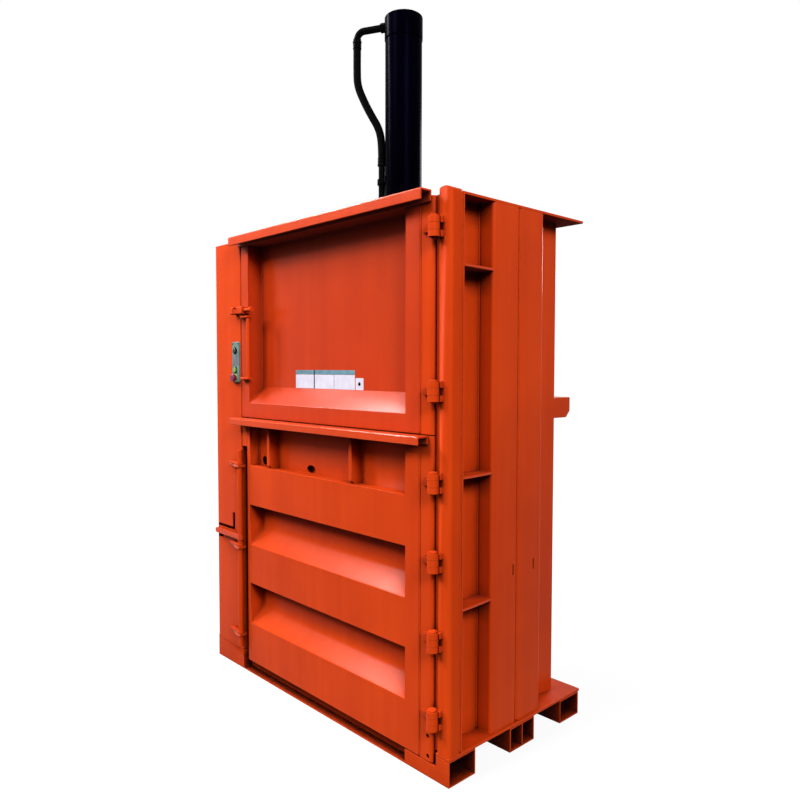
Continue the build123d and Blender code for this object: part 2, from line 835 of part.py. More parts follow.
def cylinder_head():
    """End cap with a rounded rim and a blind bore above the barrel."""
    bottom = cylinder_top - head_height
    cap = rod(cylinder_x, cylinder_depth, bottom, cylinder_top, head_radius)
    cap = fillet(cap.edges().group_by(Axis.Z)[-1], 7)
    cap -= rod(cylinder_x, cylinder_depth, bottom - 1, cylinder_top - head_plug, bore_radius)
    port = Plane(origin=axis_point(0, port_height), z_dir=hose_direction())
    drilling = Cylinder(port_radius, 2 * (head_radius - bore_radius) + 8)
    return cap - port * Pos(0, 0, head_radius) * drilling


def cylinder_flange():
    """Mounting flange and rod gland turned in one piece, bolted to the roof plate."""
    flange = ring(flange_radius, rod_radius + rod_clearance, top_height, barrel_bottom)
    flange += ring(gland_radius, rod_radius + rod_clearance, top_bottom - gland_drop, barrel_bottom)
    return flange


def flange_bolts():
    """Hexagon screws round the flange."""
    screws = []
    for i in range(flange_bolt_count):
        angle = math.radians(360 / flange_bolt_count * (i + 0.5))
        x = cylinder_x + flange_bolt_circle * math.cos(angle)
        y = front_y + cylinder_depth + flange_bolt_circle * math.sin(angle)
        head = Plane.XY.offset(barrel_bottom) * Pos(x, y) * RegularPolygon(1.7 * flange_bolt_radius, 6)
        screws.append(extrude(head, amount=1.3 * flange_bolt_radius))
    return Compound(children=screws)


def hose_direction():
    angle = math.radians(hose_side_angle)
    return Vector(math.cos(angle), math.sin(angle), 0)


def axis_point(offset, z):
    """Point at an offset from the cylinder's axis, in the hose's plane."""
    side = hose_direction()
    return Vector(cylinder_x + side.X * offset, front_y + cylinder_depth + side.Y * offset, z)


def port_elbow():
    """Steel elbow screwed into the cylinder's head, with a hexagon union."""
    reach = elbow_reach
    path = FilletPolyline(axis_point(head_radius, port_height), axis_point(reach, port_height),
                          axis_point(reach, hose_route[0][1] + ferrule_length), radius=elbow_bend)
    tube = sweep(Plane(origin=path @ 0, z_dir=path % 0) * Circle(pipe_radius), path=path)
    face = Plane(origin=axis_point(head_radius, port_height), z_dir=hose_direction())
    union = extrude(face * RegularPolygon(union_radius, 6), amount=union_length)
    return tube + union


def hose_ferrules():
    """Crimped sleeves at both ends of the hose."""
    start = hose_route[0]
    end = hose_route[-1]
    top = Pos(axis_point(start[0], start[1] + ferrule_length / 2)) * Cylinder(ferrule_radius,
                                                                            ferrule_length)
    low = Pos(axis_point(end[0], end[1] - ferrule_length / 2)) * Cylinder(ferrule_radius, ferrule_length)
    return Compound(children=[top, low])


def hose():
    """Oil hose that hangs in a bow from the elbow to the rigid pipe."""
    points = [axis_point(s, z) for s, z in hose_route]
    radii = []
    for before, corner, after in zip(points, points[1:], points[2:]):
        turn = (corner - before).get_angle(after - corner)
        run = min((corner - before).length, (after - corner).length)
        radii.append(hose_arc_share * run / math.tan(math.radians(turn) / 2))
    path = FilletPolyline(*points, radius=radii)
    tube = sweep(Plane(origin=path @ 0, z_dir=path % 0) * Circle(hose_radius), path=path)
    print("hose length", round(path.length, 1), "radii", [round(r) for r in radii])
    return tube


def pipe_drops():
    """Where the two rigid pipes pass through the roof plate."""
    first = axis_point(hose_drops[-1][0], 0).Y - front_y
    return ((pipe_drop_x, first), (pipe_drop_x, first + return_drop_gap))


def valve_tops():
    """Ports of the valve block, straight under the pipe drops."""
    return floor_top + tank_height + valve_height


def rigid_pipe(*points):
    """Bent steel pipe that ends in the valve block under its last corner."""
    last = points[-1]
    path = FilletPolyline(*points, Vector(last.X, last.Y, valve_tops()), radius=pipe_bend)
    return sweep(Plane(origin=path @ 0, z_dir=path % 0) * Circle(pipe_radius), path=path)


def pressure_pipe():
    """Rigid pipe from the hose down the barrel, along the roof and down the side bay."""
    s, z = hose_route[-1]
    start = axis_point(s, z - ferrule_length)
    corner = Vector(start.X, start.Y, pipe_run_height)
    return rigid_pipe(start, corner, Vector(pipe_drop_x, start.Y, pipe_run_height))


def return_pipe():
    """Rigid pipe from the barrel's lower port to the side bay."""
    x, d = pipe_drops()[1]
    surface = math.sqrt(barrel_radius ** 2 - (d - cylinder_depth) ** 2)
    start = Vector(cylinder_x - surface / 2, front_y + d, return_port_height)
    pipe = rigid_pipe(start, Vector(x, front_y + d, return_port_height))
    return pipe - rod(cylinder_x, cylinder_depth, return_port_height - 50, return_port_height + 50,
                      barrel_radius)


def pipe_clamps():
    """Bent saddles that hold the rigid pipe to the barrel."""
    clamps = []
    side = hose_direction()
    pipe = axis_point(hose_route[-1][0], 0)
    for z in clamp_heights:
        middle = Pos(pipe.X, pipe.Y, z + clamp_tall / 2)
        band = ring(barrel_radius + clamp_thick, barrel_radius, z, z + clamp_tall)
        band = band & (middle * Cylinder(clamp_span, 2 * clamp_tall))
        loop = middle * Cylinder(pipe_radius + clamp_thick, clamp_tall)
        strap = band + loop
        strap -= middle * Cylinder(pipe_radius, 2 * clamp_tall)
        strap -= rod(cylinder_x, cylinder_depth, z - 1, z + clamp_tall + 1, barrel_radius)
        clamps.append(strap)
    return Compound(children=clamps)


def platen():
    """Ram plate with edge and cross ribs and a collar round the rod's end."""
    x0 = chamber_left + platen_gap
    x1 = chamber_right - platen_gap
    top = platen_top + platen_rib_height
    plate = block(x0, x1, platen_front, platen_back, platen_bottom, platen_top)
    rib = platen_rib_thick
    inset = platen_rib_inset
    for d in (platen_front + inset, platen_back - inset - rib):
        plate += block(x0 + inset, x1 - inset, d, d + rib, platen_top, top)
    spread = (x1 - x0 - 2 * inset - rib) / 5
    for i in range(6):
        x = x0 + inset + i * spread
        plate += block(x, x + rib, platen_front + inset, platen_back - inset, platen_top, top)
    plate += rod(cylinder_x, cylinder_depth, platen_top, platen_top + rod_collar_height,
                 rod_collar_radius)
    return plate - rod(cylinder_x, cylinder_depth, platen_top, top + 1, rod_radius)


def piston_rod():
    """Rod with the piston at its upper end."""
    shank = rod(cylinder_x, cylinder_depth, platen_top, piston_top - piston_thick / 2, rod_radius)
    return shank + rod(cylinder_x, cylinder_depth, piston_top - piston_thick, piston_top,
                       bore_radius - piston_clearance)


def platen_shoes():
    """Sliding pads on the platen's ends that guide it between the side walls."""
    shoes = []
    for side in (-1, 1):
        wall = chamber_right if side > 0 else chamber_left
        outer = wall - side * shoe_gap
        inner = wall - side * (platen_gap + platen_rib_inset)
        for d in (platen_front + 20, platen_back - 20 - shoe_long):
            shoe = block(min(inner, outer), max(inner, outer), d, d + shoe_long, platen_top,
                         platen_top + shoe_tall)
            shoes.append(shoe)
    return Compound(children=shoes)


def side_cover():
    """Folded sheet round the side bay, with rows of cooling slots beside the motor."""
    x0 = cover_inset - half_width
    x1 = chamber_left - wall_thick
    outline = [
        (x0, post_depth),
        (x0 + cover_thick, post_depth),
        (x0 + cover_thick, wall_back - cover_thick),
        (x1, wall_back - cover_thick),
        (x1, wall_back),
        (x0, wall_back),
    ]
    cover = upward(outline, floor_top, top_bottom)
    for i in range(louvre_count):
        z = louvre_bottom + i * louvre_pitch
        cover -= block(x0 - 1, x0 + 2 * cover_thick, louvre_back - louvre_long, louvre_back,
                       z, z + louvre_tall)
    return cover


def oil_tank():
    tank = block(tank_left, tank_right, tank_front, tank_back, floor_top, floor_top + tank_height)
    tank = fillet(tank.edges().filter_by(Axis.Z), tank_radius)
    tank -= block(tank_left + tank_wall, tank_right - tank_wall, tank_front + tank_wall,
                  tank_back - tank_wall, floor_top + tank_wall, floor_top + tank_height - tank_wall)
    x = tank_left + filler_inset
    return tank - rod(x, filler_depth, floor_top + tank_height - 2 * tank_wall,
                      floor_top + tank_height + 1, filler_radius - 8)


def filler_cap():
    x = tank_left + filler_inset
    top = floor_top + tank_height
    cap = rod(x, filler_depth, top, top + 30, filler_radius)
    return fillet(cap.edges().group_by(Axis.Z)[-1], 5)


def motor_x():
    return (tank_left + tank_right) / 2


def pump_bell():
    top = floor_top + tank_height
    bell = rod(motor_x(), motor_depth, top, top + bell_height, bell_radius - 14)
    return bell + rod(motor_x(), motor_depth, top + bell_height - 14, top + bell_height, bell_radius)


def pump_motor():
    """Finned motor body with its terminal box."""
    z0 = floor_top + tank_height + bell_height
    z1 = z0 + motor_height
    body = rod(motor_x(), motor_depth, z0, z1, motor_radius - fin_reach)
    for i in range(fin_count):
        fin = Pos(motor_radius - fin_reach, 0, 0) * Box(2 * fin_reach, fin_thick, motor_height - 40)
        place = Pos(motor_x(), front_y + motor_depth, (z0 + z1) / 2) * Rot(0, 0, 360 / fin_count * i)
        body += place * fin
    half = motor_radius / 2
    return body + block(motor_x() - motor_radius - terminal_reach, motor_x() - half, motor_depth - half,
                        motor_depth + half, z0 + terminal_low, z0 + terminal_high)


def motor_cowl():
    z0 = floor_top + tank_height + bell_height + motor_height
    cowl = rod(motor_x(), motor_depth, z0, z0 + cowl_height, cowl_radius)
    return fillet(cowl.edges().group_by(Axis.Z)[-1], 14)


def valve_block():
    """Drilled block on the tank, straight under both rigid pipes."""
    top = floor_top + tank_height
    first, second = pipe_drops()
    half = valve_size / 2
    return block(pipe_drop_x - half, pipe_drop_x + half, first[1] - half, second[1] + half, top,
                 top + valve_height)


def switch_box():
    """Electrical enclosure on the chamber wall inside the bay."""
    x1 = chamber_left - wall_thick
    d0 = flange_front_left + wall_thick + box_gap
    box = block(x1 - box_width, x1, d0, d0 + box_depth, box_bottom, box_bottom + box_height)
    box = fillet(box.edges().filter_by(Axis.X), 8)
    return box - block(x1 - box_width + box_wall, x1 - box_wall, d0 + box_wall, d0 + box_depth - box_wall,
                       box_bottom + box_wall, box_bottom + box_height - box_wall)


def build():
    nodes = {
        "base_plate": base_plate(),
        "front_skid": front_skid(),
        "middle_skid": skid(middle_skid_front, middle_skid_depth, 2),
        "rear_skid": skid(base_depth - rear_skid_inset - rear_skid_depth, rear_skid_depth, 1),
        "right_wall": right_wall(),
        "left_wall": left_wall(),
        "rear_wall": rear_wall(),
        "hinge_post": hinge_post(),
        "latch_post": latch_post(),
        "right_column_front": right_column(0),
        "right_column_rear": right_column(1),
        "shelf_plates": shelf_plates(),
        "top_plate": top_plate(),
        "rear_beam": rear_beam(),
        "rear_columns": rear_columns(),
        "side_cover": side_cover(),
        "post_knuckles": post_knuckles(),
        "hinge_pins": hinge_pins(),
        "latch_brackets": latch_brackets(),
        "bolt_keeper": bolt_keeper(),
        "station_body": station_body(),
        "cylinder_flange": cylinder_flange(),
        "flange_bolts": flange_bolts(),
        "cylinder_barrel": cylinder_barrel(),
        "cylinder_head": cylinder_head(),
        "port_elbow": port_elbow(),
        "hose_ferrules": hose_ferrules(),
        "hose": hose(),
        "pressure_pipe": pressure_pipe(),
        "return_pipe": return_pipe(),
        "pipe_clamps": pipe_clamps(),
        "oil_tank": oil_tank(),
        "filler_cap": filler_cap(),
        "pump_bell": pump_bell(),
        "pump_motor": pump_motor(),
        "motor_cowl": motor_cowl(),
        "valve_block": valve_block(),
        "switch_box": switch_box(),
        "upper_door_panel": upper_door_panel(),
        "upper_hinge_stile": hinge_stile(split_height + door_gap, upper_door_top),
        "upper_door_lip": door_lip(upper_lip_right, upper_lip_top, upper_lip_height),
        "upper_knuckles": door_knuckles(upper_hinge_heights),
        "door_grip": door_grip(),
        "bolt_housing": bolt_housing(),
        "slide_bolt": slide_bolt(),
        "lower_door_panel": lower_door_panel(),
        "lower_door_ear": lower_door_ear(),
        "lower_hinge_stile": hinge_stile(lower_door_bottom, split_height, stile_hole_rises),
        "lower_door_lip": door_lip(lower_lip_right, split_height, lower_lip_height),
        "lower_knuckles": door_knuckles(lower_hinge_heights),
        "pocket_plates": pocket_plates(),
        "latch_shaft": latch_shaft(),
        "latch_lever": latch_lever(),
        "platen": platen(),
        "piston_rod": piston_rod(),
        "platen_shoes": platen_shoes(),
    }
    for i, name in enumerate(button_names):
        nodes[name] = stop_button() if name == "stop_button" else push_button(i)
    return nodes


os.makedirs("parts", exist_ok=True)
for name, shape in build().items():
    export_step(shape, f"parts/{name}.step")
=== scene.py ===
import json
import math
import random

import bmesh
import bpy
from mathutils import Matrix, Quaternion, Vector

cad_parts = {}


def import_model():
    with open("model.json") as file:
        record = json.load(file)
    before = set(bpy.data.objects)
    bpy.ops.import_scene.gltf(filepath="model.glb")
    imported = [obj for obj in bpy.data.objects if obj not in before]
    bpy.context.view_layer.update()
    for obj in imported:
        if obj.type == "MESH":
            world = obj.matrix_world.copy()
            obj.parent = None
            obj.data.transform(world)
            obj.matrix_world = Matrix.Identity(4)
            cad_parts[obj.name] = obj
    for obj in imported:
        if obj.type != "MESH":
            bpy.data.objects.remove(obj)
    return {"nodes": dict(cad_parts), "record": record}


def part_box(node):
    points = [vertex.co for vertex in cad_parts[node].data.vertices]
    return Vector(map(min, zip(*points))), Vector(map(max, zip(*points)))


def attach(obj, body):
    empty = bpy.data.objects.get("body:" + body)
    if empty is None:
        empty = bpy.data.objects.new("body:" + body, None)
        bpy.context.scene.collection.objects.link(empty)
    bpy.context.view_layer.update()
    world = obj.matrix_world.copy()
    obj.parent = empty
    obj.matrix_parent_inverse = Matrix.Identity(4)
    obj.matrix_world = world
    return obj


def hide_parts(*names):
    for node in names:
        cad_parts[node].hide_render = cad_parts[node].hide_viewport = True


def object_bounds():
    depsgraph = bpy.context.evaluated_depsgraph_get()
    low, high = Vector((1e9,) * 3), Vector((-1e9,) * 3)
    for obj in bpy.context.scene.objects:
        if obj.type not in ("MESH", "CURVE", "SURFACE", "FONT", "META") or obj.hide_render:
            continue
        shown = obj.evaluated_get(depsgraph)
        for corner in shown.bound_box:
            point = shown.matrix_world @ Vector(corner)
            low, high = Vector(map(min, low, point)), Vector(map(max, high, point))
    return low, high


# Looks for a vertical baler of welded plate: enamel over softened plate edges, weld beads, fasteners,
# blank stickers, a bowed oil hose and white studio light. Lengths are in metres.

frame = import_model()
cad_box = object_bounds()
nodes = frame["nodes"]
node_body = {n: body for body, members in frame["record"]["behaviour"]["bodies"].items() for n in members}
node_slot = {s["node"]: s["material_slot"] for s in frame["record"]["subparts"]}

MM = 0.001
UP = Vector((0, 0, 1))
OUTWARD = Vector((0, -1, 0))
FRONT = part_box("base_plate")[0].y
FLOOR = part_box("base_plate")[1].z
ROOF_UNDER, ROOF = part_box("top_plate")[0].z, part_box("top_plate")[1].z
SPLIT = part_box("lower_door_panel")[1].z
WALL_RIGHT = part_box("right_column_front")[0].x
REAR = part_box("rear_wall")[1].y

# The camera stands where the photograph's perspective puts it.
CAMERA_PLACE = Vector((2.5859, -2.3041, 1.550))
CAMERA_YAW = math.radians(46.89)
CAMERA_PITCH = math.radians(2.544)
CAMERA_ROLL = math.radians(0.084)
CAMERA_LENS = 31.91
SENSOR = 36.0

# Heights of the parts that repeat, as shares of the doors' split and of the roof
LOWER_HINGES = [share * SPLIT for share in (0.1892, 0.4162, 0.6438, 0.8692)]
UPPER_HINGES = [share * ROOF for share in (0.6676, 0.9385)]
LATCHES = [share * SPLIT for share in (0.15, 0.4969, 0.8169)]
SHELVES = [share * ROOF for share in (0.2987, 0.5241, 0.8802)]
PANS = [(0.1985 * SPLIT, 0.3562 * SPLIT), (0.5077 * SPLIT, 0.6631 * SPLIT)]
PAN_DEPTH = 80 * MM
PAN_BEND = 60 * MM
RECESS_BACK = FRONT + PAN_DEPTH
POCKET = (0.8177 * SPLIT, 0.9654 * SPLIT)
POCKET_DEPTH = 58 * MM
SILL = SPLIT + 76 * MM

# Softened edges and turned forms. An edge shorter than CROWDED radii leaves no room for the rounding.
MERGE = 2e-6
FLAT_ANGLE = math.radians(1.0)
SHARP_ANGLE = math.radians(32.0)
LINE_ANGLE = math.radians(35.0)
CROWDED = 2.5
EDGE_SEGMENTS = 3
CORNER_STEPS = 6
LATHE_SIDES = 96
TUBE_SIDES = 32
WASHER_SIDES = 24

# Weld beads. They ripple at every half step, by a drawn spread, and taper to a tip at both ends.
WELD_SIZE = 3.2 * MM
WELD_STEP = 6 * MM
WELD_SIDES = 8
WELD_DIP = 0.85
WELD_SPREAD = (0.96, 1.04)
WELD_TIP = 0.40
WELD_GROWTH = 0.20
WELD_LIFT = 0.30
weld_draw = random.Random(11)


# Helpers


def link(name, data):
    piece = bpy.data.objects.new(name, data)
    bpy.context.scene.collection.objects.link(piece)
    return piece


def finish_mesh(form, name, smooth=True):
    """Turn a bmesh into a linked object with smooth faces and sharp edges kept."""
    mesh = bpy.data.meshes.new(name)
    form.to_mesh(mesh)
    form.free()
    if smooth:
        for face in mesh.polygons:
            face.use_smooth = True
        mesh.set_sharp_from_angle(angle=SHARP_ANGLE)
    return link(name, mesh)


def dress(piece, node, material):
    """Let a piece stand for a CAD node, with its material and body."""
    piece.data.materials.clear()
    piece.data.materials.append(material)
    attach(piece, node_body[node])
    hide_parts(node)
    return piece


def add_part(form, name, body, material):
    """Turn a bmesh into an added detail, with its material and body."""
    piece = finish_mesh(form, name)
    piece.data.materials.append(material)
    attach(piece, body)


def bevel_edges(form, radius):
    """Outer edges that are long enough to be rounded without closing up their neighbours."""
    chosen = {
        e for e in form.edges
        if len(e.link_faces) == 2 and e.is_convex and e.calc_face_angle(0.0) > SHARP_ANGLE
    }

    def crowded(edge):
        for vert in edge.verts:
            here = (edge.other_vert(vert).co - vert.co).normalized()
            for other in vert.link_edges:
                if other is edge:
                    continue
                there = (other.other_vert(vert).co - vert.co).normalized()
                in_line = (-here).angle(there, math.pi) < LINE_ANGLE
                if other in chosen and in_line:
                    continue
                if other.calc_length() < CROWDED * radius:
                    return True
        return False

    while True:
        dropped = {e for e in chosen if crowded(e)}
        if not dropped:
            return [e for e in form.edges if e in chosen]
        chosen -= dropped


def softened(node, radius, material):
    """A copy of a CAD node's form with its outer edges rounded, the tight ones by a third of the radius."""
    form = bmesh.new()
    form.from_mesh(nodes[node].data)
    bmesh.ops.remove_doubles(form, verts=form.verts, dist=MERGE)
    bmesh.ops.dissolve_limit(form, angle_limit=FLAT_ANGLE, verts=form.verts, edges=form.edges)
    for size in (radius, radius / 3):
        bmesh.ops.bevel(form, geom=bevel_edges(form, size), offset=size, segments=EDGE_SEGMENTS, profile=0.5,
                        affect="EDGES", clamp_overlap=True)
    bmesh.ops.triangulate(form, faces=[f for f in form.faces if len(f.verts) > 4])
    piece = finish_mesh(form, node + "_form")
    normals = piece.modifiers.new("normals", "WEIGHTED_NORMAL")
    normals.keep_sharp = True
    dress(piece, node, material)


def loft(form, rings):
    """Skin from ring to ring."""
    for ring, after in zip(rings, rings[1:]):
        for i in range(len(ring)):
            j = (i + 1) % len(ring)
            form.faces.new((ring[i], ring[j], after[j], after[i]))


def cap(form, rings):
    """Faces that close the first and the last ring."""
    form.faces.new(list(reversed(rings[0])))
    form.faces.new(rings[-1])


def circle(form, centre, side, across, radius, sides):
    """Ring of points round a centre, in the plane of two unit vectors."""
    angles = [2 * math.pi * i / sides for i in range(sides)]
    return [form.verts.new(centre + side * (radius * math.cos(a)) + across * (radius * math.sin(a)))
            for a in angles]


def ring_lathe(name, profile, centre):
    """Upright turned form whose closed profile goes all round, so that its bore is open."""
    form = bmesh.new()
    angles = [2 * math.pi * i / LATHE_SIDES for i in range(LATHE_SIDES)]
    rings = [[form.verts.new((centre[0] + r * math.cos(a), centre[1] + r * math.sin(a), z)) for a in angles]
             for r, z in profile]
    loft(form, rings + rings[:1])
    bmesh.ops.recalc_face_normals(form, faces=form.faces)
    return finish_mesh(form, name)


def rounded_path(points, bend, steps=10):
    """Centreline through corner points, with an arc of radius bend at each corner."""
    points = [Vector(p) for p in points]
    path = [points[0]]
    for before, corner, after in zip(points, points[1:], points[2:]):
        a = (before - corner).normalized()
        b = (after - corner).normalized()
        half = a.angle(b) / 2
        reach = bend / math.tan(half)
        middle = corner + (a + b).normalized() * (bend / math.sin(half))
        start = corner + a * reach - middle
        end = corner + b * reach - middle
        turn = start.angle(end)
        for i in range(steps + 1):
            t = i / steps
            spoke = start * math.sin((1 - t) * turn) + end * math.sin(t * turn)
            path.append(middle + spoke / math.sin(turn))
    path.append(points[-1])
    return path


def sweep(form, path, radius_at, sides=TUBE_SIDES):
    """Add a capped tube along a path to a bmesh. radius_at gives the radius at each path index."""
    tangent = (path[1] - path[0]).normalized()
    side = tangent.orthogonal().normalized()
    rings = []
    for k, point in enumerate(path):
        ahead = path[min(k + 1, len(path) - 1)]
        behind = path[max(k - 1, 0)]
        new = (ahead - behind).normalized()
        side = (side - new * side.dot(new)).normalized()
        rings.append(circle(form, point, side, new.cross(side), radius_at(k), sides))
    loft(form, rings)
    cap(form, rings)


def stepped(path, step):
    """Points about a step apart along a path of corner points, with its ends kept."""
    points = [Vector(path[0])]
    for a, b in zip(path, path[1:]):
        a, b = Vector(a), Vector(b)
        count = max(1, round((b - a).length / step))
        points += [a.lerp(b, (i + 1) / count) for i in range(count)]
    return points


def ripple(k):
    """Share of a bead's size at a step: every other one dips."""
    return 1.0 if k % 2 else WELD_DIP


def bead(form, path, size):
    """Rippled weld bead along a path, tapered at both ends."""
    points = stepped(path, WELD_STEP / 2)
    last = len(points) - 1

    def radius_at(k):
        drawn = ripple(k) * weld_draw.uniform(*WELD_SPREAD)
        return size * drawn * min(1.0, WELD_TIP + WELD_GROWTH * min(k, last - k))

    sweep(form, points, radius_at, WELD_SIDES)


def seam(form, start, end, out, size=WELD_SIZE):
    """Fillet weld along the corner from start to end. Its throat points along out."""
    lift = Vector(out).normalized() * (WELD_LIFT * size)
    bead(form, [Vector(start) + lift, Vector(end) + lift], size)


def stitches(form, start, end, out, size=WELD_SIZE, run=60 * MM, pitch=170 * MM):
    """Fillet weld in short runs at an even pitch, with one run at each end."""
    start, end = Vector(start), Vector(end)
    length = (end - start).length
    count = max(1, round((length - run) / pitch))
    for i in range(count + 1):
        a = start.lerp(end, i * (length - run) / count / length)
        seam(form, a, a + (end - start).normalized() * run, out, size)


def round_seam(form, centre, radius, z, size):
    """Weld bead right round an upright tube."""
    count = 2 * round(math.pi * radius / WELD_STEP)
    turns = [2 * math.pi * i / WELD_SIDES for i in range(WELD_SIDES)]
    rings = []
    for k in range(count):
        angle = 2 * math.pi * k / count
        away = Vector((math.cos(angle), math.sin(angle), 0))
        r = size * ripple(k)
        rings.append([
            form.verts.new(Vector((centre[0], centre[1], z)) + away * (radius + r * math.cos(turn))
                           + Vector((0, 0, r * math.sin(turn))))
            for turn in turns
        ])
    for ring, after in zip(rings, rings[1:] + rings[:1]):
        for i in range(WELD_SIDES):
            j = (i + 1) % WELD_SIDES
            form.faces.new((ring[i], after[i], after[j], ring[j]))


def slab(form, x, y, z, corner, edge):
    """Plate with rounded corners in the XZ plane, from y[0] at its back to y[1] at its bevelled face."""
    outline = []
    for cx, cz, turn in ((x[1], z[1], 0), (x[0], z[1], 1), (x[0], z[0], 2), (x[1], z[0], 3)):
        mx = cx - corner if cx == x[1] else cx + corner
        mz = cz - corner if cz == z[1] else cz + corner
        for i in range(CORNER_STEPS + 1):
            a = math.pi / 2 * (turn + i / CORNER_STEPS)
            outline.append((mx, mz, math.cos(a), math.sin(a)))
    levels = [(y[0], corner), (y[1] - math.copysign(edge, y[1] - y[0]), corner), (y[1], corner - edge)]
    rings = [[form.verts.new((mx + r * ca, level, mz + r * sa)) for mx, mz, ca, sa in outline]
             for level, r in levels]
    loft(form, rings)
    cap(form, rings)


def turned(form, base, axis, profile, sides=TUBE_SIDES):
    """Rings of a turned form on any axis, from (radius, height) points, with a skin between them."""
    side = axis.orthogonal().normalized()
    across = axis.cross(side)
    rings = [circle(form, base + axis * h, side, across, r, sides) for r, h in profile]
    loft(form, rings)
    return rings


def washer(form, base, axis, inner, outer, height, edge):
    """Ring with an open bore and bevelled rims, standing on base along axis."""
    profile = [(inner, 0), (outer, 0), (outer, height - edge), (outer - edge, height), (inner + edge, height),
               (inner, height - edge)]
    rings = turned(form, base, axis, profile)
    loft(form, [rings[-1], rings[0]])


def hex_screw(form, base, axis, radius, height, washer_radius, washer_height=2.5 * MM):
    """Hexagon head on a washer, standing on base along axis."""
    chamfer_height, chamfer_reach = 1.5 * MM, 2.2 * MM
    disc = [(washer_radius, 0), (washer_radius, washer_height)]
    head = [(radius, washer_height), (radius, height - chamfer_height), (radius - chamfer_reach, height)]
    for profile, sides in ((disc, WASHER_SIDES), (head, 6)):
        cap(form, turned(form, base, axis, profile, sides))


# Materials

COAT_ROUGHNESS = 0.12
BUMP_DISTANCE = 0.4 * MM
DRIFT_RANGE = (0.35, 0.68)
WHITE = (1, 1, 1)

# Enamel: its drifting tone, the spray gun's streaks, painted shade in corners and under ledges, and orange
# peel
TONE_SCALE = 1.7
TONE_RANGE = (0.32, 0.70)
STREAK_SCALE = 16.0
STREAK_STRETCH = (1, 1, 0.05)
STREAK_RANGE = (0.35, 0.65)
STREAK_TINT = (0.93, 0.88, 0.85)
SKY_LIFT = (0, 0, 0.7)
SKY_SAMPLES = 4
CORNER_SHADE_RANGE = (0.24, 0.70)
CORNER_SHADE_TINT = (1.0, 0.8, 0.7)
UNDERSIDE = (-0.85, -0.15)
UNDERSIDE_SHADE_LEAST = 0.25
GLOSS_SCALE = 6.0
CLEAN_RANGE = (0.35, 0.90)
MATT = 0.85
PEEL = (90.0, 0.08)


def new_material(name, colour, roughness, metallic=0.0, specular=0.5, coat=0.0):
    material = bpy.data.materials.new(name)
    material.use_nodes = True
    shader = material.node_tree.nodes["Principled BSDF"]
    shader.inputs["Base Color"].default_value = (*colour, 1)
    shader.inputs["Roughness"].default_value = roughness
    shader.inputs["Metallic"].default_value = metallic
    shader.inputs["Specular IOR Level"].default_value = specular
    shader.inputs["Coat Weight"].default_value = coat
    shader.inputs["Coat Roughness"].default_value = COAT_ROUGHNESS
    material.diffuse_color = (*colour, 1)
    return material


def noise(tree, scale, detail=3.0, stretch=None):
    """Noise over object space, with an optional stretch of its coordinates."""
    place = tree.nodes.new("ShaderNodeTexCoord").outputs["Object"]
    if stretch:
        mapping = tree.nodes.new("ShaderNodeMapping")
        mapping.inputs["Scale"].default_value = stretch
        tree.links.new(place, mapping.inputs["Vector"])
        place = mapping.outputs["Vector"]
    texture = tree.nodes.new("ShaderNodeTexNoise")
    texture.inputs["Scale"].default_value = scale
    texture.inputs["Detail"].default_value = detail
    tree.links.new(place, texture.inputs["Vector"])
    return texture.outputs["Fac"]


def ramp(tree, value, low, high, low_colour, high_colour):
    """Blend from one colour to another while a value goes from low to high."""
    node = tree.nodes.new("ShaderNodeValToRGB")
    node.color_ramp.elements[0].position = low
    node.color_ramp.elements[0].color = (*low_colour, 1)
    node.color_ramp.elements[1].position = high
    node.color_ramp.elements[1].color = (*high_colour, 1)
    tree.links.new(value, node.inputs["Fac"])
    return node.outputs["Color"]


def remap(tree, value, to_min, to_max, from_min=0.0, from_max=1.0):
    """Carry a value from one range into another, where to_max can be a socket."""
    node = tree.nodes.new("ShaderNodeMapRange")
    node.inputs["From Min"].default_value = from_min
    node.inputs["From Max"].default_value = from_max
    node.inputs["To Min"].default_value = to_min
    if isinstance(to_max, bpy.types.NodeSocket):
        tree.links.new(to_max, node.inputs["To Max"])
    else:
        node.inputs["To Max"].default_value = to_max
    tree.links.new(value, node.inputs["Value"])
    return node.outputs["Result"]


def combined(tree, operation, a, b):
    node = tree.nodes.new("ShaderNodeMath")
    node.operation = operation
    tree.links.new(a, node.inputs[0])
    tree.links.new(b, node.inputs[1])
    return node.outputs[0]


def multiplied(tree, a, b):
    """Product of two colours."""
    node = tree.nodes.new("ShaderNodeMix")
    node.data_type = "RGBA"
    node.blend_type = "MULTIPLY"
    node.inputs["Factor"].default_value = 1.0
    tree.links.new(a, node.inputs["A"])
    tree.links.new(b, node.inputs["B"])
    return node.outputs["Result"]


def bumped(material, scale, strength, stretch=None):
    """Give a material a fine grain."""
    tree = material.node_tree
    bump = tree.nodes.new("ShaderNodeBump")
    bump.inputs["Strength"].default_value = strength
    bump.inputs["Distance"].default_value = BUMP_DISTANCE
    tree.links.new(noise(tree, scale, 2.0, stretch), bump.inputs["Height"])
    tree.links.new(bump.outputs["Normal"], tree.nodes["Principled BSDF"].inputs["Normal"])
    return material


def mottled(name, low, high, drift, rough, grain=None, stretch=None, metallic=0.0, specular=0.5, coat=0.0):
    """Material whose colour and gloss drift over its surface. Its grain is a bump's scale and strength."""
    middle = tuple((a + b) / 2 for a, b in zip(low, high))
    material = new_material(name, middle, sum(rough) / 2, metallic, specular, coat)
    tree = material.node_tree
    shader = tree.nodes["Principled BSDF"]
    tree.links.new(ramp(tree, noise(tree, drift), *DRIFT_RANGE, low, high), shader.inputs["Base Color"])
    tree.links.new(remap(tree, noise(tree, 4 * drift), *rough), shader.inputs["Roughness"])
    return bumped(material, *grain, stretch) if grain else material
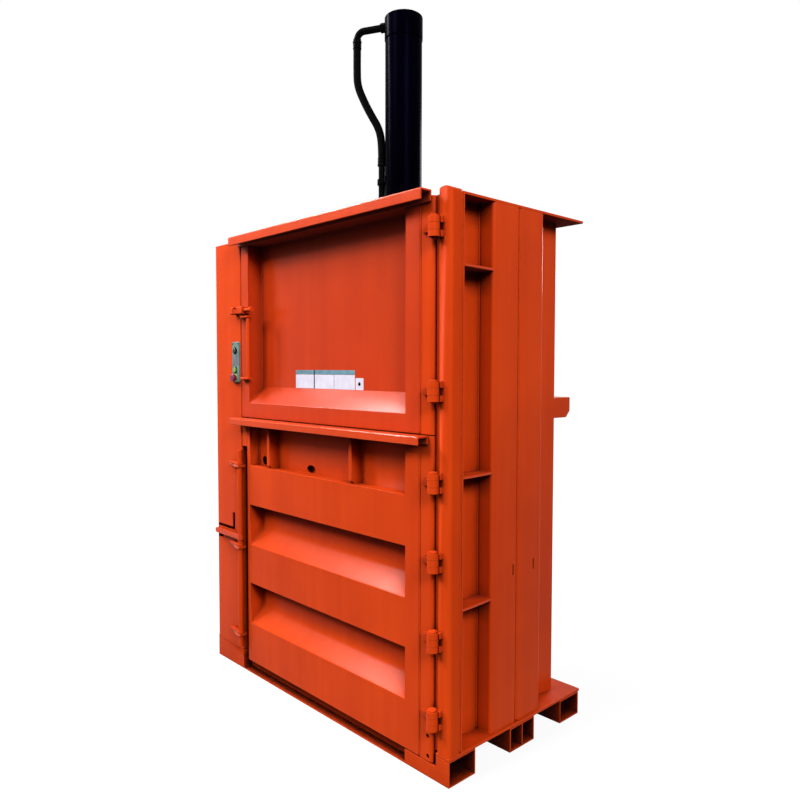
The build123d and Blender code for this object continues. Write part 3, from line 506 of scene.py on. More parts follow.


# In the enamel's colour this paints shade on faces that look down; in its roughness it makes them matt.
def underside_factor(tree, facing_up, least):
    """One for a face that looks up or sideways, down to the least value for one that looks down."""
    return remap(tree, facing_up, least, 1.0, *UNDERSIDE)


def openness(tree, normal, reach):
    """How open a place is to what lies within reach in front of it and, more so, above it."""
    lifted = tree.nodes.new("ShaderNodeVectorMath")
    lifted.operation = "ADD"
    lifted.inputs[1].default_value = SKY_LIFT
    tree.links.new(normal, lifted.inputs[0])
    upward = tree.nodes.new("ShaderNodeVectorMath")
    upward.operation = "NORMALIZE"
    tree.links.new(lifted.outputs["Vector"], upward.inputs[0])
    occlusion = tree.nodes.new("ShaderNodeAmbientOcclusion")
    occlusion.samples = SKY_SAMPLES
    occlusion.inputs["Distance"].default_value = reach
    tree.links.new(upward.outputs["Vector"], occlusion.inputs["Normal"])
    return occlusion.outputs["AO"]


def enamel(name, low, high, rough=(0.17, 0.26), specular=0.04, crevice=0.10, depth=0.09):
    """Glossy enamel with the spray gun's faint streaks, painted shade in its corners, under ledges and on
    faces that look down, and matt there.

    crevice is how near a wall has to be to count, and depth is the share of the colour left beside it as
    painted shade.
    """
    material = new_material(name, high, sum(rough) / 2, specular=specular)
    tree = material.node_tree
    shader = tree.nodes["Principled BSDF"]
    normal = tree.nodes.new("ShaderNodeNewGeometry").outputs["Normal"]
    height = tree.nodes.new("ShaderNodeSeparateXYZ")
    tree.links.new(normal, height.inputs["Vector"])
    sky = openness(tree, normal, crevice)
    tone = ramp(tree, noise(tree, TONE_SCALE), *TONE_RANGE, low, high)
    streaks = ramp(tree, noise(tree, STREAK_SCALE, 2.0, STREAK_STRETCH), *STREAK_RANGE, STREAK_TINT, WHITE)
    # Painted shade: the colour darkens where walls close in round a place, more so from above.
    corner_shade = ramp(tree, sky, *CORNER_SHADE_RANGE, [depth * share for share in CORNER_SHADE_TINT], WHITE)
    # Painted shade also darkens the faces that look down, as under ledges.
    for layer in (streaks, corner_shade, underside_factor(tree, height.outputs["Z"], UNDERSIDE_SHADE_LEAST)):
        tone = multiplied(tree, tone, layer)
    tree.links.new(tone, shader.inputs["Base Color"])
    gloss = remap(tree, noise(tree, GLOSS_SCALE, 5.0), *rough)
    clean = remap(tree, sky, 0.0, 1.0, *CLEAN_RANGE)
    polish = combined(tree, "MULTIPLY", clean, underside_factor(tree, height.outputs["Z"], 0.0))
    tree.links.new(remap(tree, polish, MATT, gloss), shader.inputs["Roughness"])
    return bumped(material, *PEEL)


ORANGE = ((0.49, 0.039, 0.004), (0.59, 0.051, 0.005))
# A darker copy of the orange enamel: painted shade for the upper door's panel.
SHADED_ORANGE = ((0.42, 0.030, 0.003), (0.50, 0.039, 0.004))
COAL = ((0.0005, 0.0005, 0.0005), (0.0015, 0.0015, 0.0015))
PAINT = enamel("orange_enamel", *ORANGE)
# The skids' enamel reaches far for its painted shade and keeps almost none of the colour, so the insides of
# the tubes and the faces under the base plate are painted nearly black.
SKID_PAINT = enamel("orange_enamel_skids", *ORANGE, crevice=0.30, depth=0.01)
POST_PAINT = enamel("orange_enamel_post", *ORANGE, rough=(0.34, 0.44), specular=0.02)
LIP_PAINT = enamel("orange_enamel_lips", *ORANGE, specular=0.13)
# The upper door's panel takes the darker copy of the orange, as painted shade.
SILL_PAINT = enamel("orange_enamel_sill", *SHADED_ORANGE, rough=(0.20, 0.26), specular=0.10)
MACHINE_GREY = enamel("machine_grey", (0.13, 0.15, 0.17), (0.18, 0.20, 0.22), specular=0.3)
NAVY = mottled("cylinder_enamel", (0.0002, 0.0002, 0.0010), (0.0004, 0.0003, 0.0020), 3.0, (0.20, 0.28),
               specular=0.003)
NAVY.node_tree.nodes["Principled BSDF"].inputs["Specular Tint"].default_value = (0.35, 0.25, 1.0, 1)
BLACK = mottled("black_enamel", *COAL, 8.0, (0.28, 0.42), (120.0, 0.1), specular=0.01)
RUBBER = mottled("hose_rubber", *COAL, 30.0, (0.48, 0.66), (400.0, 0.25), specular=0.01)
STEEL = mottled("ground_steel", (0.55, 0.55, 0.56), (0.68, 0.68, 0.69), 20.0, (0.14, 0.26), (60.0, 0.08),
                (1, 1, 30), metallic=1.0)
ZINC = mottled("zinc_plate", (0.46, 0.47, 0.49), (0.64, 0.64, 0.63), 60.0, (0.30, 0.46), (300.0, 0.1),
               metallic=1.0)
CABINET = mottled("cabinet_grey", (0.50, 0.51, 0.51), (0.58, 0.59, 0.59), 4.0, (0.45, 0.60), (500.0, 0.3))
STATION = mottled("station_plastic", (0.09, 0.14, 0.125), (0.13, 0.20, 0.175), 30.0, (0.42, 0.58),
                  (700.0, 0.25), specular=0.2)
LEGEND = mottled("legend_grey", (0.10, 0.10, 0.12), (0.15, 0.15, 0.17), 40.0, (0.42, 0.58), (500.0, 0.2),
                 specular=0.2)
COLLAR = mottled("collar_green", (0.24, 0.33, 0.06), (0.34, 0.44, 0.09), 60.0, (0.30, 0.50), specular=0.2)
NYLON = mottled("nylon", (0.66, 0.64, 0.56), (0.76, 0.74, 0.68), 20.0, (0.45, 0.60))
STICKER = mottled("sticker_film", (0.52, 0.52, 0.62), (0.60, 0.60, 0.69), 25.0, (0.34, 0.46), specular=0.2)
STICKER_BAND = mottled("sticker_band", (0.08, 0.17, 0.21), (0.13, 0.26, 0.32), 40.0, (0.34, 0.46),
                       specular=0.2)


def button_plastic(name, colour):
    darker = tuple(0.8 * c for c in colour)
    return mottled(name, darker, colour, 60.0, (0.24, 0.36), specular=0.2, coat=0.2)


BUTTONS = {
    "up_button": button_plastic("black_cap", (0.010, 0.014, 0.012)),
    "down_button": button_plastic("green_cap", (0.16, 0.30, 0.05)),
    "stop_button": button_plastic("red_cap", (0.16, 0.004, 0.035)),
}

# Hose in a plane through the cylinder's axis. Its points are distances from there and from the top.

HOSE_ANGLE = math.radians(207.0)
HOSE_DROPS = (
    (0.2355, 0.110),
    (0.2365, 0.202),
    (0.2340, 0.281),
    (0.2010, 0.357),
    (0.1650, 0.425),
    (0.1240, 0.493),
    (0.1090, 0.560),
    (0.1085, 0.634),
)
HOSE_RADIUS = 18.5 * MM
FERRULE_LENGTH = 38 * MM
FERRULE_RADIUS = 21.5 * MM
FERRULE_BEVEL = 1.4 * MM
FERRULE_STEPS = 38
CRIMP_SPAN = (0.05, 0.68)
CRIMP_DEPTH = 0.6 * MM
CRIMPS = 3.5
COLLAR_START = 0.72
PIPE_RADIUS = 16 * MM

barrel_low, barrel_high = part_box("cylinder_barrel")
head_low, head_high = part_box("cylinder_head")
BARREL_RADIUS = (barrel_high.x - barrel_low.x) / 2
HEAD_RADIUS = (head_high.x - head_low.x) / 2
AXIS = (barrel_low + barrel_high) / 2
TOP = head_high.z


def hose_point(offset, drop):
    return Vector((AXIS.x + offset * math.cos(HOSE_ANGLE),
                   AXIS.y + offset * math.sin(HOSE_ANGLE), TOP - drop))


def hose_curve():
    route = [hose_point(offset, drop) for offset, drop in HOSE_DROPS]
    curve = bpy.data.curves.new("oil_hose", "CURVE")
    curve.dimensions = "3D"
    spline = curve.splines.new("NURBS")
    spline.points.add(len(route) - 1)
    for point, place in zip(spline.points, route):
        point.co = (*place, 1)
    spline.order_u = 3
    spline.use_endpoint_u = True
    spline.resolution_u = 12
    curve.bevel_depth = HOSE_RADIUS
    curve.bevel_resolution = 8
    curve.use_fill_caps = True
    return dress(link("oil_hose", curve), "hose", RUBBER), route


def ferrule_radius(k):
    """Radius along a crimped sleeve: bevelled ends, rolled grooves and a collar beside the fitting."""
    t = k / FERRULE_STEPS
    radius = FERRULE_RADIUS - (0.3 * MM if t > COLLAR_START else 1.0 * MM)
    if CRIMP_SPAN[0] < t < CRIMP_SPAN[1]:
        radius -= CRIMP_DEPTH * (1 + math.cos(2 * math.pi * CRIMPS * t))
    if k in (0, FERRULE_STEPS):
        radius -= FERRULE_BEVEL
    return radius


def ferrules(route):
    """Crimped sleeves at both ends of the hose."""
    form = bmesh.new()
    for end, up in ((route[0], 1), (route[-1], -1)):
        path = [end + Vector((0, 0, up * FERRULE_LENGTH * i / FERRULE_STEPS))
                for i in range(FERRULE_STEPS + 1)]
        sweep(form, path, ferrule_radius)
    return dress(finish_mesh(form, "crimped_ferrules"), "hose_ferrules", BLACK)


hose_piece, hose_route = hose_curve()
ferrule_piece = ferrules(hose_route)

# Cylinder and pipes

BORE_STEP = 11 * MM
HEAD_PLUG = 20 * MM
HEAD_STEP = 2.5 * MM
HEAD_RIM = 7 * MM
HEAD_CENTRE = 0.1 * MM
ROD_BORE = 45.06 * MM
GLAND_RADIUS = 78 * MM
FLANGE_CHAMFER = 3 * MM
FOOT_BEAD = 4.5 * MM
HEAD_BEAD = 3.0 * MM
SCREWS = 8
SCREW_CIRCLE = 125 * MM
SCREW_RADIUS = 17.0 * MM
SCREW_WASHER = 19.5 * MM
PORT_DROP = 30 * MM
ELBOW_BEND = 36 * MM
UNION = (22.5 * MM, 26 * MM)
NUT = (18.5 * MM, 14 * MM)
PIPE_BEND = 60 * MM
PIPE_RUN = ROOF + 62 * MM
GROMMET = (PIPE_RADIUS + 0.3 * MM, PIPE_RADIUS + 8 * MM, 4 * MM, 1.5 * MM)


def cylinder():
    """Barrel, head and flange as smooth turned forms, with their weld beads."""
    r, z0, z1 = BARREL_RADIUS, barrel_low.z, barrel_high.z
    bore = r - BORE_STEP
    barrel = ring_lathe("barrel", [(bore, z0), (r, z0), (r, z1), (bore, z1)], AXIS)
    dress(barrel, "cylinder_barrel", NAVY)
    profile = [(bore, head_low.z), (HEAD_RADIUS - HEAD_STEP, head_low.z),
               (HEAD_RADIUS, head_low.z + HEAD_STEP)]
    rim_r, rim_z = HEAD_RADIUS - HEAD_RIM, TOP - HEAD_RIM
    for i in range(CORNER_STEPS + 1):
        a = math.pi / 2 * i / CORNER_STEPS
        profile.append((rim_r + HEAD_RIM * math.cos(a), rim_z + HEAD_RIM * math.sin(a)))
    profile += [(HEAD_CENTRE, TOP), (HEAD_CENTRE, TOP - HEAD_PLUG), (bore, TOP - HEAD_PLUG)]
    dress(ring_lathe("barrel_head", profile, AXIS), "cylinder_head", NAVY)
    low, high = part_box("cylinder_flange")
    flange_r = (high.x - low.x) / 2
    c = FLANGE_CHAMFER
    profile = [(ROD_BORE, low.z), (GLAND_RADIUS - c, low.z), (GLAND_RADIUS, low.z + c), (GLAND_RADIUS, ROOF),
               (flange_r - c, ROOF), (flange_r, ROOF + c), (flange_r, high.z - c), (flange_r - c, high.z),
               (ROD_BORE, high.z)]
    dress(ring_lathe("barrel_flange", profile, AXIS), "cylinder_flange", NAVY)
    form = bmesh.new()
    round_seam(form, AXIS, r, z0 + FOOT_BEAD / 3, FOOT_BEAD)
    round_seam(form, AXIS, r, z1 - HEAD_BEAD / 3, HEAD_BEAD)
    add_part(form, "barrel_welds", "frame", NAVY)


def flange_screws():
    """Hexagon screws with washers round the flange."""
    form = bmesh.new()
    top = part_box("flange_bolts")[1].z
    flange_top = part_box("cylinder_flange")[1].z
    for i in range(SCREWS):
        angle = math.radians(360 / SCREWS * (i + 0.5))
        centre = Vector((AXIS.x + SCREW_CIRCLE * math.cos(angle), AXIS.y + SCREW_CIRCLE * math.sin(angle),
                         flange_top))
        hex_screw(form, centre, UP, SCREW_RADIUS, top - flange_top, SCREW_WASHER)
    dress(finish_mesh(form, "flange_screws"), "flange_bolts", ZINC)


def elbow():
    """Port elbow with a hexagon union and a nut."""
    out = (hose_point(1, 0) - hose_point(0, 0)).normalized()
    start = hose_point(HEAD_RADIUS - 1 * MM, PORT_DROP)
    corner = hose_point(HOSE_DROPS[0][0], PORT_DROP)
    end = hose_route[0] + Vector((0, 0, FERRULE_LENGTH))
    form = bmesh.new()
    sweep(form, rounded_path([start, corner, end], ELBOW_BEND, steps=14), lambda k: PIPE_RADIUS)
    hex_screw(form, start + out * MM, out, *UNION, UNION[0] - 1 * MM)
    hex_screw(form, end, UP, *NUT, NUT[0] - 1 * MM)
    dress(finish_mesh(form, "port_elbow_bend"), "port_elbow", BLACK)


def pipe(name, node, points):
    """Rigid pipe with bends of one radius."""
    form = bmesh.new()
    sweep(form, rounded_path(points, PIPE_BEND), lambda k: PIPE_RADIUS)
    dress(finish_mesh(form, name), node, BLACK)


def rigid_pipes():
    """The two oil pipes, from the hose and the barrel's foot down into the side bay, and their grommets."""
    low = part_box("pressure_pipe")[0]
    start = hose_route[-1] - Vector((0, 0, FERRULE_LENGTH))
    drop_x = low.x + PIPE_RADIUS
    pipe("pressure_line", "pressure_pipe", [start, (start.x, start.y, PIPE_RUN), (drop_x, start.y, PIPE_RUN),
                                            (drop_x, start.y, low.z)])
    low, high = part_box("return_pipe")
    y = (low.y + high.y) / 2
    run = high.z - PIPE_RADIUS
    from_x = AXIS.x - math.sqrt(BARREL_RADIUS ** 2 - (y - AXIS.y) ** 2) - 0.5 * MM
    pipe("return_line", "return_pipe", [(from_x, y, run), (drop_x, y, run), (drop_x, y, low.z)])
    form = bmesh.new()
    for place in (start.y, y):
        for z, axis in ((ROOF, UP), (ROOF_UNDER, -UP)):
            washer(form, Vector((drop_x, place, z)), axis, *GROMMET)
    add_part(form, "roof_grommets", "frame", RUBBER)


cylinder()
flange_screws()
elbow()
rigid_pipes()

# Welded structure and machinery: each CAD form with its outer edges rounded, by radius in millimetres

EDGES = {
    3.0: ("lower_door_panel", "upper_door_panel", "platen", "oil_tank", "valve_block", "pocket_plates"),
    2.5: ("base_plate", "front_skid", "middle_skid", "rear_skid", "top_plate", "rear_beam",
          "lower_door_lip", "upper_door_lip", "lower_door_ear"),
    2.0: ("right_wall", "left_wall", "rear_wall", "hinge_post", "latch_post", "shelf_plates",
          "upper_hinge_stile", "lower_hinge_stile", "latch_brackets", "latch_lever"),
    1.5: ("right_column_front", "right_column_rear", "rear_columns", "post_knuckles", "upper_knuckles",
          "lower_knuckles", "door_grip", "bolt_housing", "latch_shaft"),
    0.8: ("hinge_pins", "bolt_keeper", "slide_bolt", "side_cover"),
}
OTHERS = (
    ("station_body", 0.8, STATION), ("pump_bell", 1.5, MACHINE_GREY), ("pump_motor", 1.0, MACHINE_GREY),
    ("motor_cowl", 1.0, MACHINE_GREY), ("switch_box", 1.5, CABINET), ("filler_cap", 1.0, BLACK),
    ("pipe_clamps", 0.8, BLACK), ("piston_rod", 1.0, STEEL), ("platen_shoes", 2.0, NYLON),
)
BUTTON_EDGE = 0.6
SLOT_PAINT = {"motor_grey": MACHINE_GREY, "zinc_steel": ZINC}
NODE_PAINT = {
    "front_skid": SKID_PAINT, "middle_skid": SKID_PAINT, "rear_skid": SKID_PAINT, "hinge_post": POST_PAINT,
    "upper_door_lip": LIP_PAINT, "lower_door_lip": LIP_PAINT, "shelf_plates": LIP_PAINT,
    "latch_lever": LIP_PAINT, "latch_brackets": LIP_PAINT, "upper_door_panel": SILL_PAINT,
}
for size, members in EDGES.items():
    for node in members:
        softened(node, size * MM, NODE_PAINT.get(node, SLOT_PAINT.get(node_slot[node], PAINT)))
for node, size, material in OTHERS:
    softened(node, size * MM, material)
for node, plastic in BUTTONS.items():
    softened(node, BUTTON_EDGE * MM, plastic)

# Weld beads. INSET is how far a bead stays from a corner, and ROUND from a column's rounded edge.

INSET = 4 * MM
ROUND = 12 * MM
GROOVE = 4 * MM
GROOVE_WELD = 5.5 * MM
BUTT_WELD = 6 * MM
STILE_WELD = 4 * MM
PAN_WELD = 3 * MM
STRAP_END_WELD = 2.8 * MM
PLATE_WELD = 2.6 * MM
STRAP_WELD = 2.4 * MM
SHELF_THICK = 10 * MM
POCKET_PLATE = 20 * MM
REAR_COLUMN_HALF = 75 * MM
POST_STRAPS = ((-37, -13.5), (13.5, 37))
DOOR_STRAPS = ((-13, 13),)
POST_STRAP_REACH = 14 * MM
DOOR_STRAP_REACH = 30 * MM
BASE_AND_ROOF = ((FLOOR, 1), (ROOF_UNDER, -1))
CHAMBER_LEFT, CHAMBER_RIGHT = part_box("rear_wall")[0].x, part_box("rear_wall")[1].x
CHAMBER_FRONT = FRONT + 101 * MM
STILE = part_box("upper_hinge_stile")[0].x
RECESS_RIGHT = STILE - 78 * MM
TRAY_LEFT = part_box("upper_door_panel")[0].x + 67 * MM
PAN_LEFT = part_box("lower_door_panel")[0].x + 26 * MM
HEADER = 23 * MM


def add_welds(form, name, body):
    add_part(form, name, body, PAINT)


def column_welds(form):
    """Seams, feet and tops of the columns on the right side."""
    (x0, front, _), (x1, back, _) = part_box("right_column_front")[0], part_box("right_column_rear")[1]
    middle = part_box("right_column_front")[1].y
    joint = x1 - 7 * MM
    fold = 15 * MM
    for y, side in ((front, 1), (back, -1)):
        edge = y + side * GROOVE
        seam(form, (x0, edge, FLOOR), (x0, edge, ROOF_UNDER), (1, 0, 0), GROOVE_WELD)
        for z, up in BASE_AND_ROOF:
            seam(form, (x0 + ROUND, y, z), (x1 - ROUND, y, z), (0, -side, up))
    seam(form, (joint, middle, FLOOR), (joint, middle, ROOF_UNDER), (1, 0, 0), BUTT_WELD)
    for y0, y1 in ((front, middle), (middle, back)):
        seam(form, (x1, y0 + fold, FLOOR), (x1, y1 - fold, FLOOR), (1, 0, 1))


def shelf_welds(form):
    """The shelf plates between the hinge post, the right wall and the front column."""
    front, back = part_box("shelf_plates")[0].y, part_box("shelf_plates")[1].y
    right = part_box("right_column_front")[1].x - 10 * MM
    for top in SHELVES:
        for z, up in ((top, 1), (top - SHELF_THICK, -1)):
            seam(form, (WALL_RIGHT, front + INSET, z), (WALL_RIGHT, back - INSET, z), (1, 0, up))
            seam(form, (WALL_RIGHT + INSET, front, z), (-cad_box[0][0] - INSET, front, z), (0, 1, up))
            seam(form, (WALL_RIGHT + ROUND, back, z), (right, back, z), (0, -1, up))


def wall_welds(form):
    """The hinge post on its flange, the chamber's walls on the base plate, and its upright corners."""
    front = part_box("right_wall")[0].y
    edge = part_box("hinge_post")[1].x - 6.5 * MM
    sunk = front - 3 * MM
    bead(form, [(edge, sunk, FLOOR), (edge, sunk, ROOF_UNDER)], BUTT_WELD)
    column_front, column_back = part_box("right_column_front")[0].y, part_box("right_column_rear")[1].y
    for z, up in BASE_AND_ROOF:
        stitches(form, (WALL_RIGHT, front + 20 * MM, z), (WALL_RIGHT, column_front - INSET, z), (1, 0, up))
        stitches(form, (WALL_RIGHT, column_back + INSET, z), (WALL_RIGHT, REAR - INSET, z), (1, 0, up))
    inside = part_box("rear_wall")[0].y
    for x, side in ((CHAMBER_LEFT, 1), (CHAMBER_RIGHT, -1)):
        seam(form, (x, inside, FLOOR + INSET), (x, inside, ROOF_UNDER - INSET), (side, -1, 0))
        seam(form, (x, CHAMBER_FRONT, FLOOR), (x, inside - INSET, FLOOR), (side, 0, 1))
    seam(form, (CHAMBER_LEFT + INSET, inside, FLOOR), (CHAMBER_RIGHT - INSET, inside, FLOOR), (0, -1, 1))


def rear_welds(form):
    """Rear columns and beam on the rear wall."""
    beam_low, beam_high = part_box("rear_beam")
    columns_low, columns_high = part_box("rear_columns")
    half = REAR_COLUMN_HALF
    back = columns_high.y
    edges = [beam_low.x + INSET]
    for x in (columns_low.x + half, columns_high.x - half):
        edges += [x - half - INSET, x + half + INSET]
        for z0, z1 in ((FLOOR, beam_low.z), (beam_high.z, ROOF_UNDER)):
            for side in (-1, 1):
                edge = x + side * (half - GROOVE)
                stitches(form, (edge, REAR, z0 + ROUND), (edge, REAR, z1 - ROUND), (0, 1, 0), GROOVE_WELD)
            for z, up in ((z0, 1), (z1, -1)):
                seam(form, (x - half + ROUND, back, z), (x + half - ROUND, back, z), (0, 1, up))
    edges.append(beam_high.x - INSET)
    for x0, x1 in zip(edges[::2], edges[1::2]):
        for z, up in ((beam_low.z, -1), (beam_high.z, 1), *BASE_AND_ROOF):
            stitches(form, (x0, REAR, z), (x1, REAR, z), (0, 1, up))


def skid_welds(form):
    """Long stitches under the base plate along the skids, left out where a skid is flush with its edge."""
    low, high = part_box("base_plate")
    left, right = low.x + 10 * MM, high.x - 10 * MM
    for node in ("front_skid", "middle_skid", "rear_skid"):
        skid_low, skid_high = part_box(node)
        for y, out in ((skid_low.y, -1), (skid_high.y, 1)):
            if abs(y) < abs(FRONT) - MM:
                stitches(form, (left, y, low.z), (right, y, low.z), (0, out, -1),
                         run=120 * MM, pitch=280 * MM)


def plate_welds(form, x0, x1, z, half):
    """Beads above and below a plate that stands out from the front."""
    for side in (-1, 1):
        seam(form, (x0, FRONT, z + side * half), (x1, FRONT, z + side * half), (0, -1, side), PLATE_WELD)


def block_welds(form, node):
    """Beads above and below a block on the front."""
    low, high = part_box(node)
    plate_welds(form, low.x + MM, high.x - MM, (low.z + high.z) / 2, (high.z - low.z) / 2)


def hinge_welds(form, heights, levels, end, root):
    """Beads round the straps of the hinge barrels, at levels in millimetres from the hinges' heights."""
    side = math.copysign(1, end - root)
    for height in heights:
        for z0, z1 in levels:
            a, b = height + z0 * MM, height + z1 * MM
            seam(form, (end, FRONT, a), (end, FRONT, b), (side, -1, 0), STRAP_END_WELD)
            seam(form, (root, FRONT, a), (end, FRONT, a), (0, -1, -1), STRAP_WELD)
            seam(form, (root, FRONT, b), (end, FRONT, b), (0, -1, 1), STRAP_WELD)


def frame_welds():
    form = bmesh.new()
    column_welds(form)
    shelf_welds(form)
    wall_welds(form)
    rear_welds(form)
    skid_welds(form)
    strap_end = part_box("post_knuckles")[1].x
    hinge_welds(form, LOWER_HINGES + UPPER_HINGES, POST_STRAPS, strap_end, strap_end - POST_STRAP_REACH)
    low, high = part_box("latch_brackets")
    half = 6 * MM
    for top in LATCHES:
        plate_welds(form, low.x + INSET, high.x - 46 * MM, top - half, half)
    block_welds(form, "bolt_keeper")
    add_welds(form, "frame_welds", "frame")


def door_edge_welds(form, panel, hinges):
    """A door's hinge straps, and the seam between its panel and its hinge stile."""
    low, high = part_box(panel)
    strap_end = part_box("upper_knuckles")[0].x
    hinge_welds(form, hinges, DOOR_STRAPS, strap_end, strap_end + DOOR_STRAP_REACH)
    x, y = STILE + 4 * MM, FRONT + 3 * MM
    seam(form, (x, y, low.z), (x, y, high.z), OUTWARD, STILE_WELD)


def upper_door_welds():
    """Beads of the feed door: hinges, the corners of its tray, its grip and its bolt's housing."""
    form = bmesh.new()
    door_edge_welds(form, "upper_door_panel", UPPER_HINGES)
    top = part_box("upper_door_panel")[1].z - HEADER
    sill = (FRONT + INSET, SILL + INSET)
    bend = (RECESS_BACK, SILL + PAN_DEPTH)
    for x, side in ((TRAY_LEFT, 1), (RECESS_RIGHT, -1)):
        seam(form, (x, *sill), (x, *bend), (side, -0.7, 0.7))
        seam(form, (x, *bend), (x, RECESS_BACK, top - INSET), (side, -1, 0))
    seam(form, (TRAY_LEFT + INSET, RECESS_BACK, top), (RECESS_RIGHT - INSET, RECESS_BACK, top), (0, -1, -1))
    grip_low, grip_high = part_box("door_grip")
    half = 5 * MM
    for z in (grip_low.z + half, grip_high.z - half):
        plate_welds(form, grip_low.x + INSET, TRAY_LEFT - INSET, z, half)
    block_welds(form, "bolt_housing")
    add_welds(form, "upper_door_welds", "upper_door")


def pan_welds(form, low, high):
    """Beads in the inner corners of a pan: its two bent sides and its upper edge."""
    route = [(FRONT + INSET, low + INSET), (RECESS_BACK, low + PAN_DEPTH), (RECESS_BACK, high - INSET)]
    for x, side in ((PAN_LEFT, 1), (RECESS_RIGHT, -1)):
        path = rounded_path([(x, y, z) for y, z in route], PAN_BEND, steps=6)
        shift = Vector((side, -0.7, 0.3)).normalized() * MM
        bead(form, [p + shift for p in path], PAN_WELD)
    seam(form, (PAN_LEFT + INSET, RECESS_BACK, high), (RECESS_RIGHT - INSET, RECESS_BACK, high), (0, -1, -1))


def lower_door_welds():
    """Beads of the bale door: hinges, its lip, and the corners of its pans and pockets."""
    form = bmesh.new()
    door_edge_welds(form, "lower_door_panel", LOWER_HINGES)
    lip_left, lip_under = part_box("lower_door_ear")[0].x + INSET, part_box("lower_door_lip")[0].z
    seam(form, (lip_left, FRONT, lip_under), (STILE, FRONT, lip_under), (0, -1, -1))
    for low, high in PANS:
        pan_welds(form, low, high)
    back = FRONT + POCKET_DEPTH
    low, high = POCKET
    plates_low, plates_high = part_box("pocket_plates")
    cells = ((PAN_LEFT, plates_low.x), (plates_low.x + POCKET_PLATE, plates_high.x - POCKET_PLATE),
             (plates_high.x, RECESS_RIGHT))
    for x0, x1 in cells:
        for x, side in ((x0, 1), (x1, -1)):
            seam(form, (x, back, low + INSET), (x, back, high - INSET), (side, -1, 0))
            seam(form, (x, FRONT + 16 * MM, low), (x, back - INSET, low), (side, 0, 1))
            seam(form, (x, FRONT + INSET, high), (x, back - INSET, high), (side, 0, -1))
        seam(form, (x0 + INSET, back, high), (x1 - INSET, back, high), (0, -1, -1))
    add_welds(form, "lower_door_welds", "lower_door")


def latch_welds():
    """Beads on the latch shaft above and below its lever."""
    form = bmesh.new()
    low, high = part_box("latch_lever")
    shaft_low, shaft_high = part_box("latch_shaft")
    shaft_radius = 13 * MM
    centre = Vector((shaft_high.x - 17 * MM, (shaft_low.y + shaft_high.y) / 2, 0))
    for z in (low.z, high.z):
        round_seam(form, centre, shaft_radius, z, PLATE_WELD)
    add_welds(form, "latch_welds", "latch")


def ram_welds():
    """Stitches along the ribs on the ram's plate."""
    form = bmesh.new()
    low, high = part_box("platen")
    plate_top = low.z + 20 * MM
    rib = 60 * MM
    left, right = low.x + rib + INSET, high.x - rib - INSET
    for y, side in ((low.y + rib, -1), (high.y - rib, 1)):
        stitches(form, (left, y, plate_top), (right, y, plate_top), (0, side, 1))
    add_welds(form, "ram_welds", "platen")


frame_welds()
upper_door_welds()
lower_door_welds()
latch_welds()
ram_welds()

# Fittings: stickers, the button station, cooling louvres and screws

FILM = 0.5 * MM
FILM_EDGE = 0.2 * MM
FILM_CORNER = 1.5 * MM
STICKERS = ((-229, -86), (-78, 66), (68, 213))
BANDS = ((-229, -86), (-78, 213))
PLATE = (218, 270)
STICKER_HEIGHT = 64
BAND_HEIGHTS = (65, 85)
PLATE_HEIGHT = 51
STICKER_EDGES = ((-86, -78), (65.5, 68.5))
PLATE_SCREW = (5.5 * MM, 5 * MM, 8 * MM, 1.2 * MM)
PLATE_SCREW_RISE = 27 * MM
BUTTON_BORE = 13.5 * MM
BEZEL = (BUTTON_BORE, 18 * MM, 2.0 * MM, 0.6 * MM)
STOP_COLLAR = (BUTTON_BORE, 20.5 * MM, 1.6 * MM, 0.5 * MM)
STATION_SCREW = (3.4 * MM, 2.4 * MM, 3.8 * MM, 0.6 * MM)
REAR_SCREW = (7.5 * MM, 6.5 * MM, 10 * MM, 1.2 * MM)
SIDE_SCREW = (7.5 * MM, 5.2 * MM, 10 * MM, 1.0 * MM)
LOUVRES = 8
LOUVRE_FIRST = 700 * MM
LOUVRE_PITCH = 34 * MM
SCREW_ROWS = 6


def sticker(form, across, up, corner=FILM_CORNER):
    """Film on the upper door's back plate, from its spans in millimetres across and above the sill."""
    x0, x1 = (x * MM for x in across)
    z0, z1 = (SILL + PAN_DEPTH + 1 * MM + z * MM for z in up)
    slab(form, (x0, x1), (RECESS_BACK + FILM, RECESS_BACK - FILM), (z0, z1), corner, FILM_EDGE)


def stickers():
    """Blank film labels with coloured bands and dark edges, and a small plate with a screw beside them."""
    form = bmesh.new()
    for across in STICKERS:
        sticker(form, across, (0, STICKER_HEIGHT))
    sticker(form, PLATE, (0, PLATE_HEIGHT), 3 * MM)
    add_part(form, "blank_stickers", "upper_door", STICKER)
    form = bmesh.new()
    for across in BANDS:
        sticker(form, across, BAND_HEIGHTS)
    add_part(form, "sticker_bands", "upper_door", STICKER_BAND)
    form = bmesh.new()
    sticker(form, STICKER_EDGES[0], (0, BAND_HEIGHTS[1]))
    sticker(form, STICKER_EDGES[1], (0, STICKER_HEIGHT), 1.0 * MM)
    centre = Vector((sum(PLATE) / 2 * MM, RECESS_BACK - FILM, SILL + PAN_DEPTH + PLATE_SCREW_RISE))
    hex_screw(form, centre, OUTWARD, *PLATE_SCREW)
    add_part(form, "sticker_edges", "upper_door", BLACK)


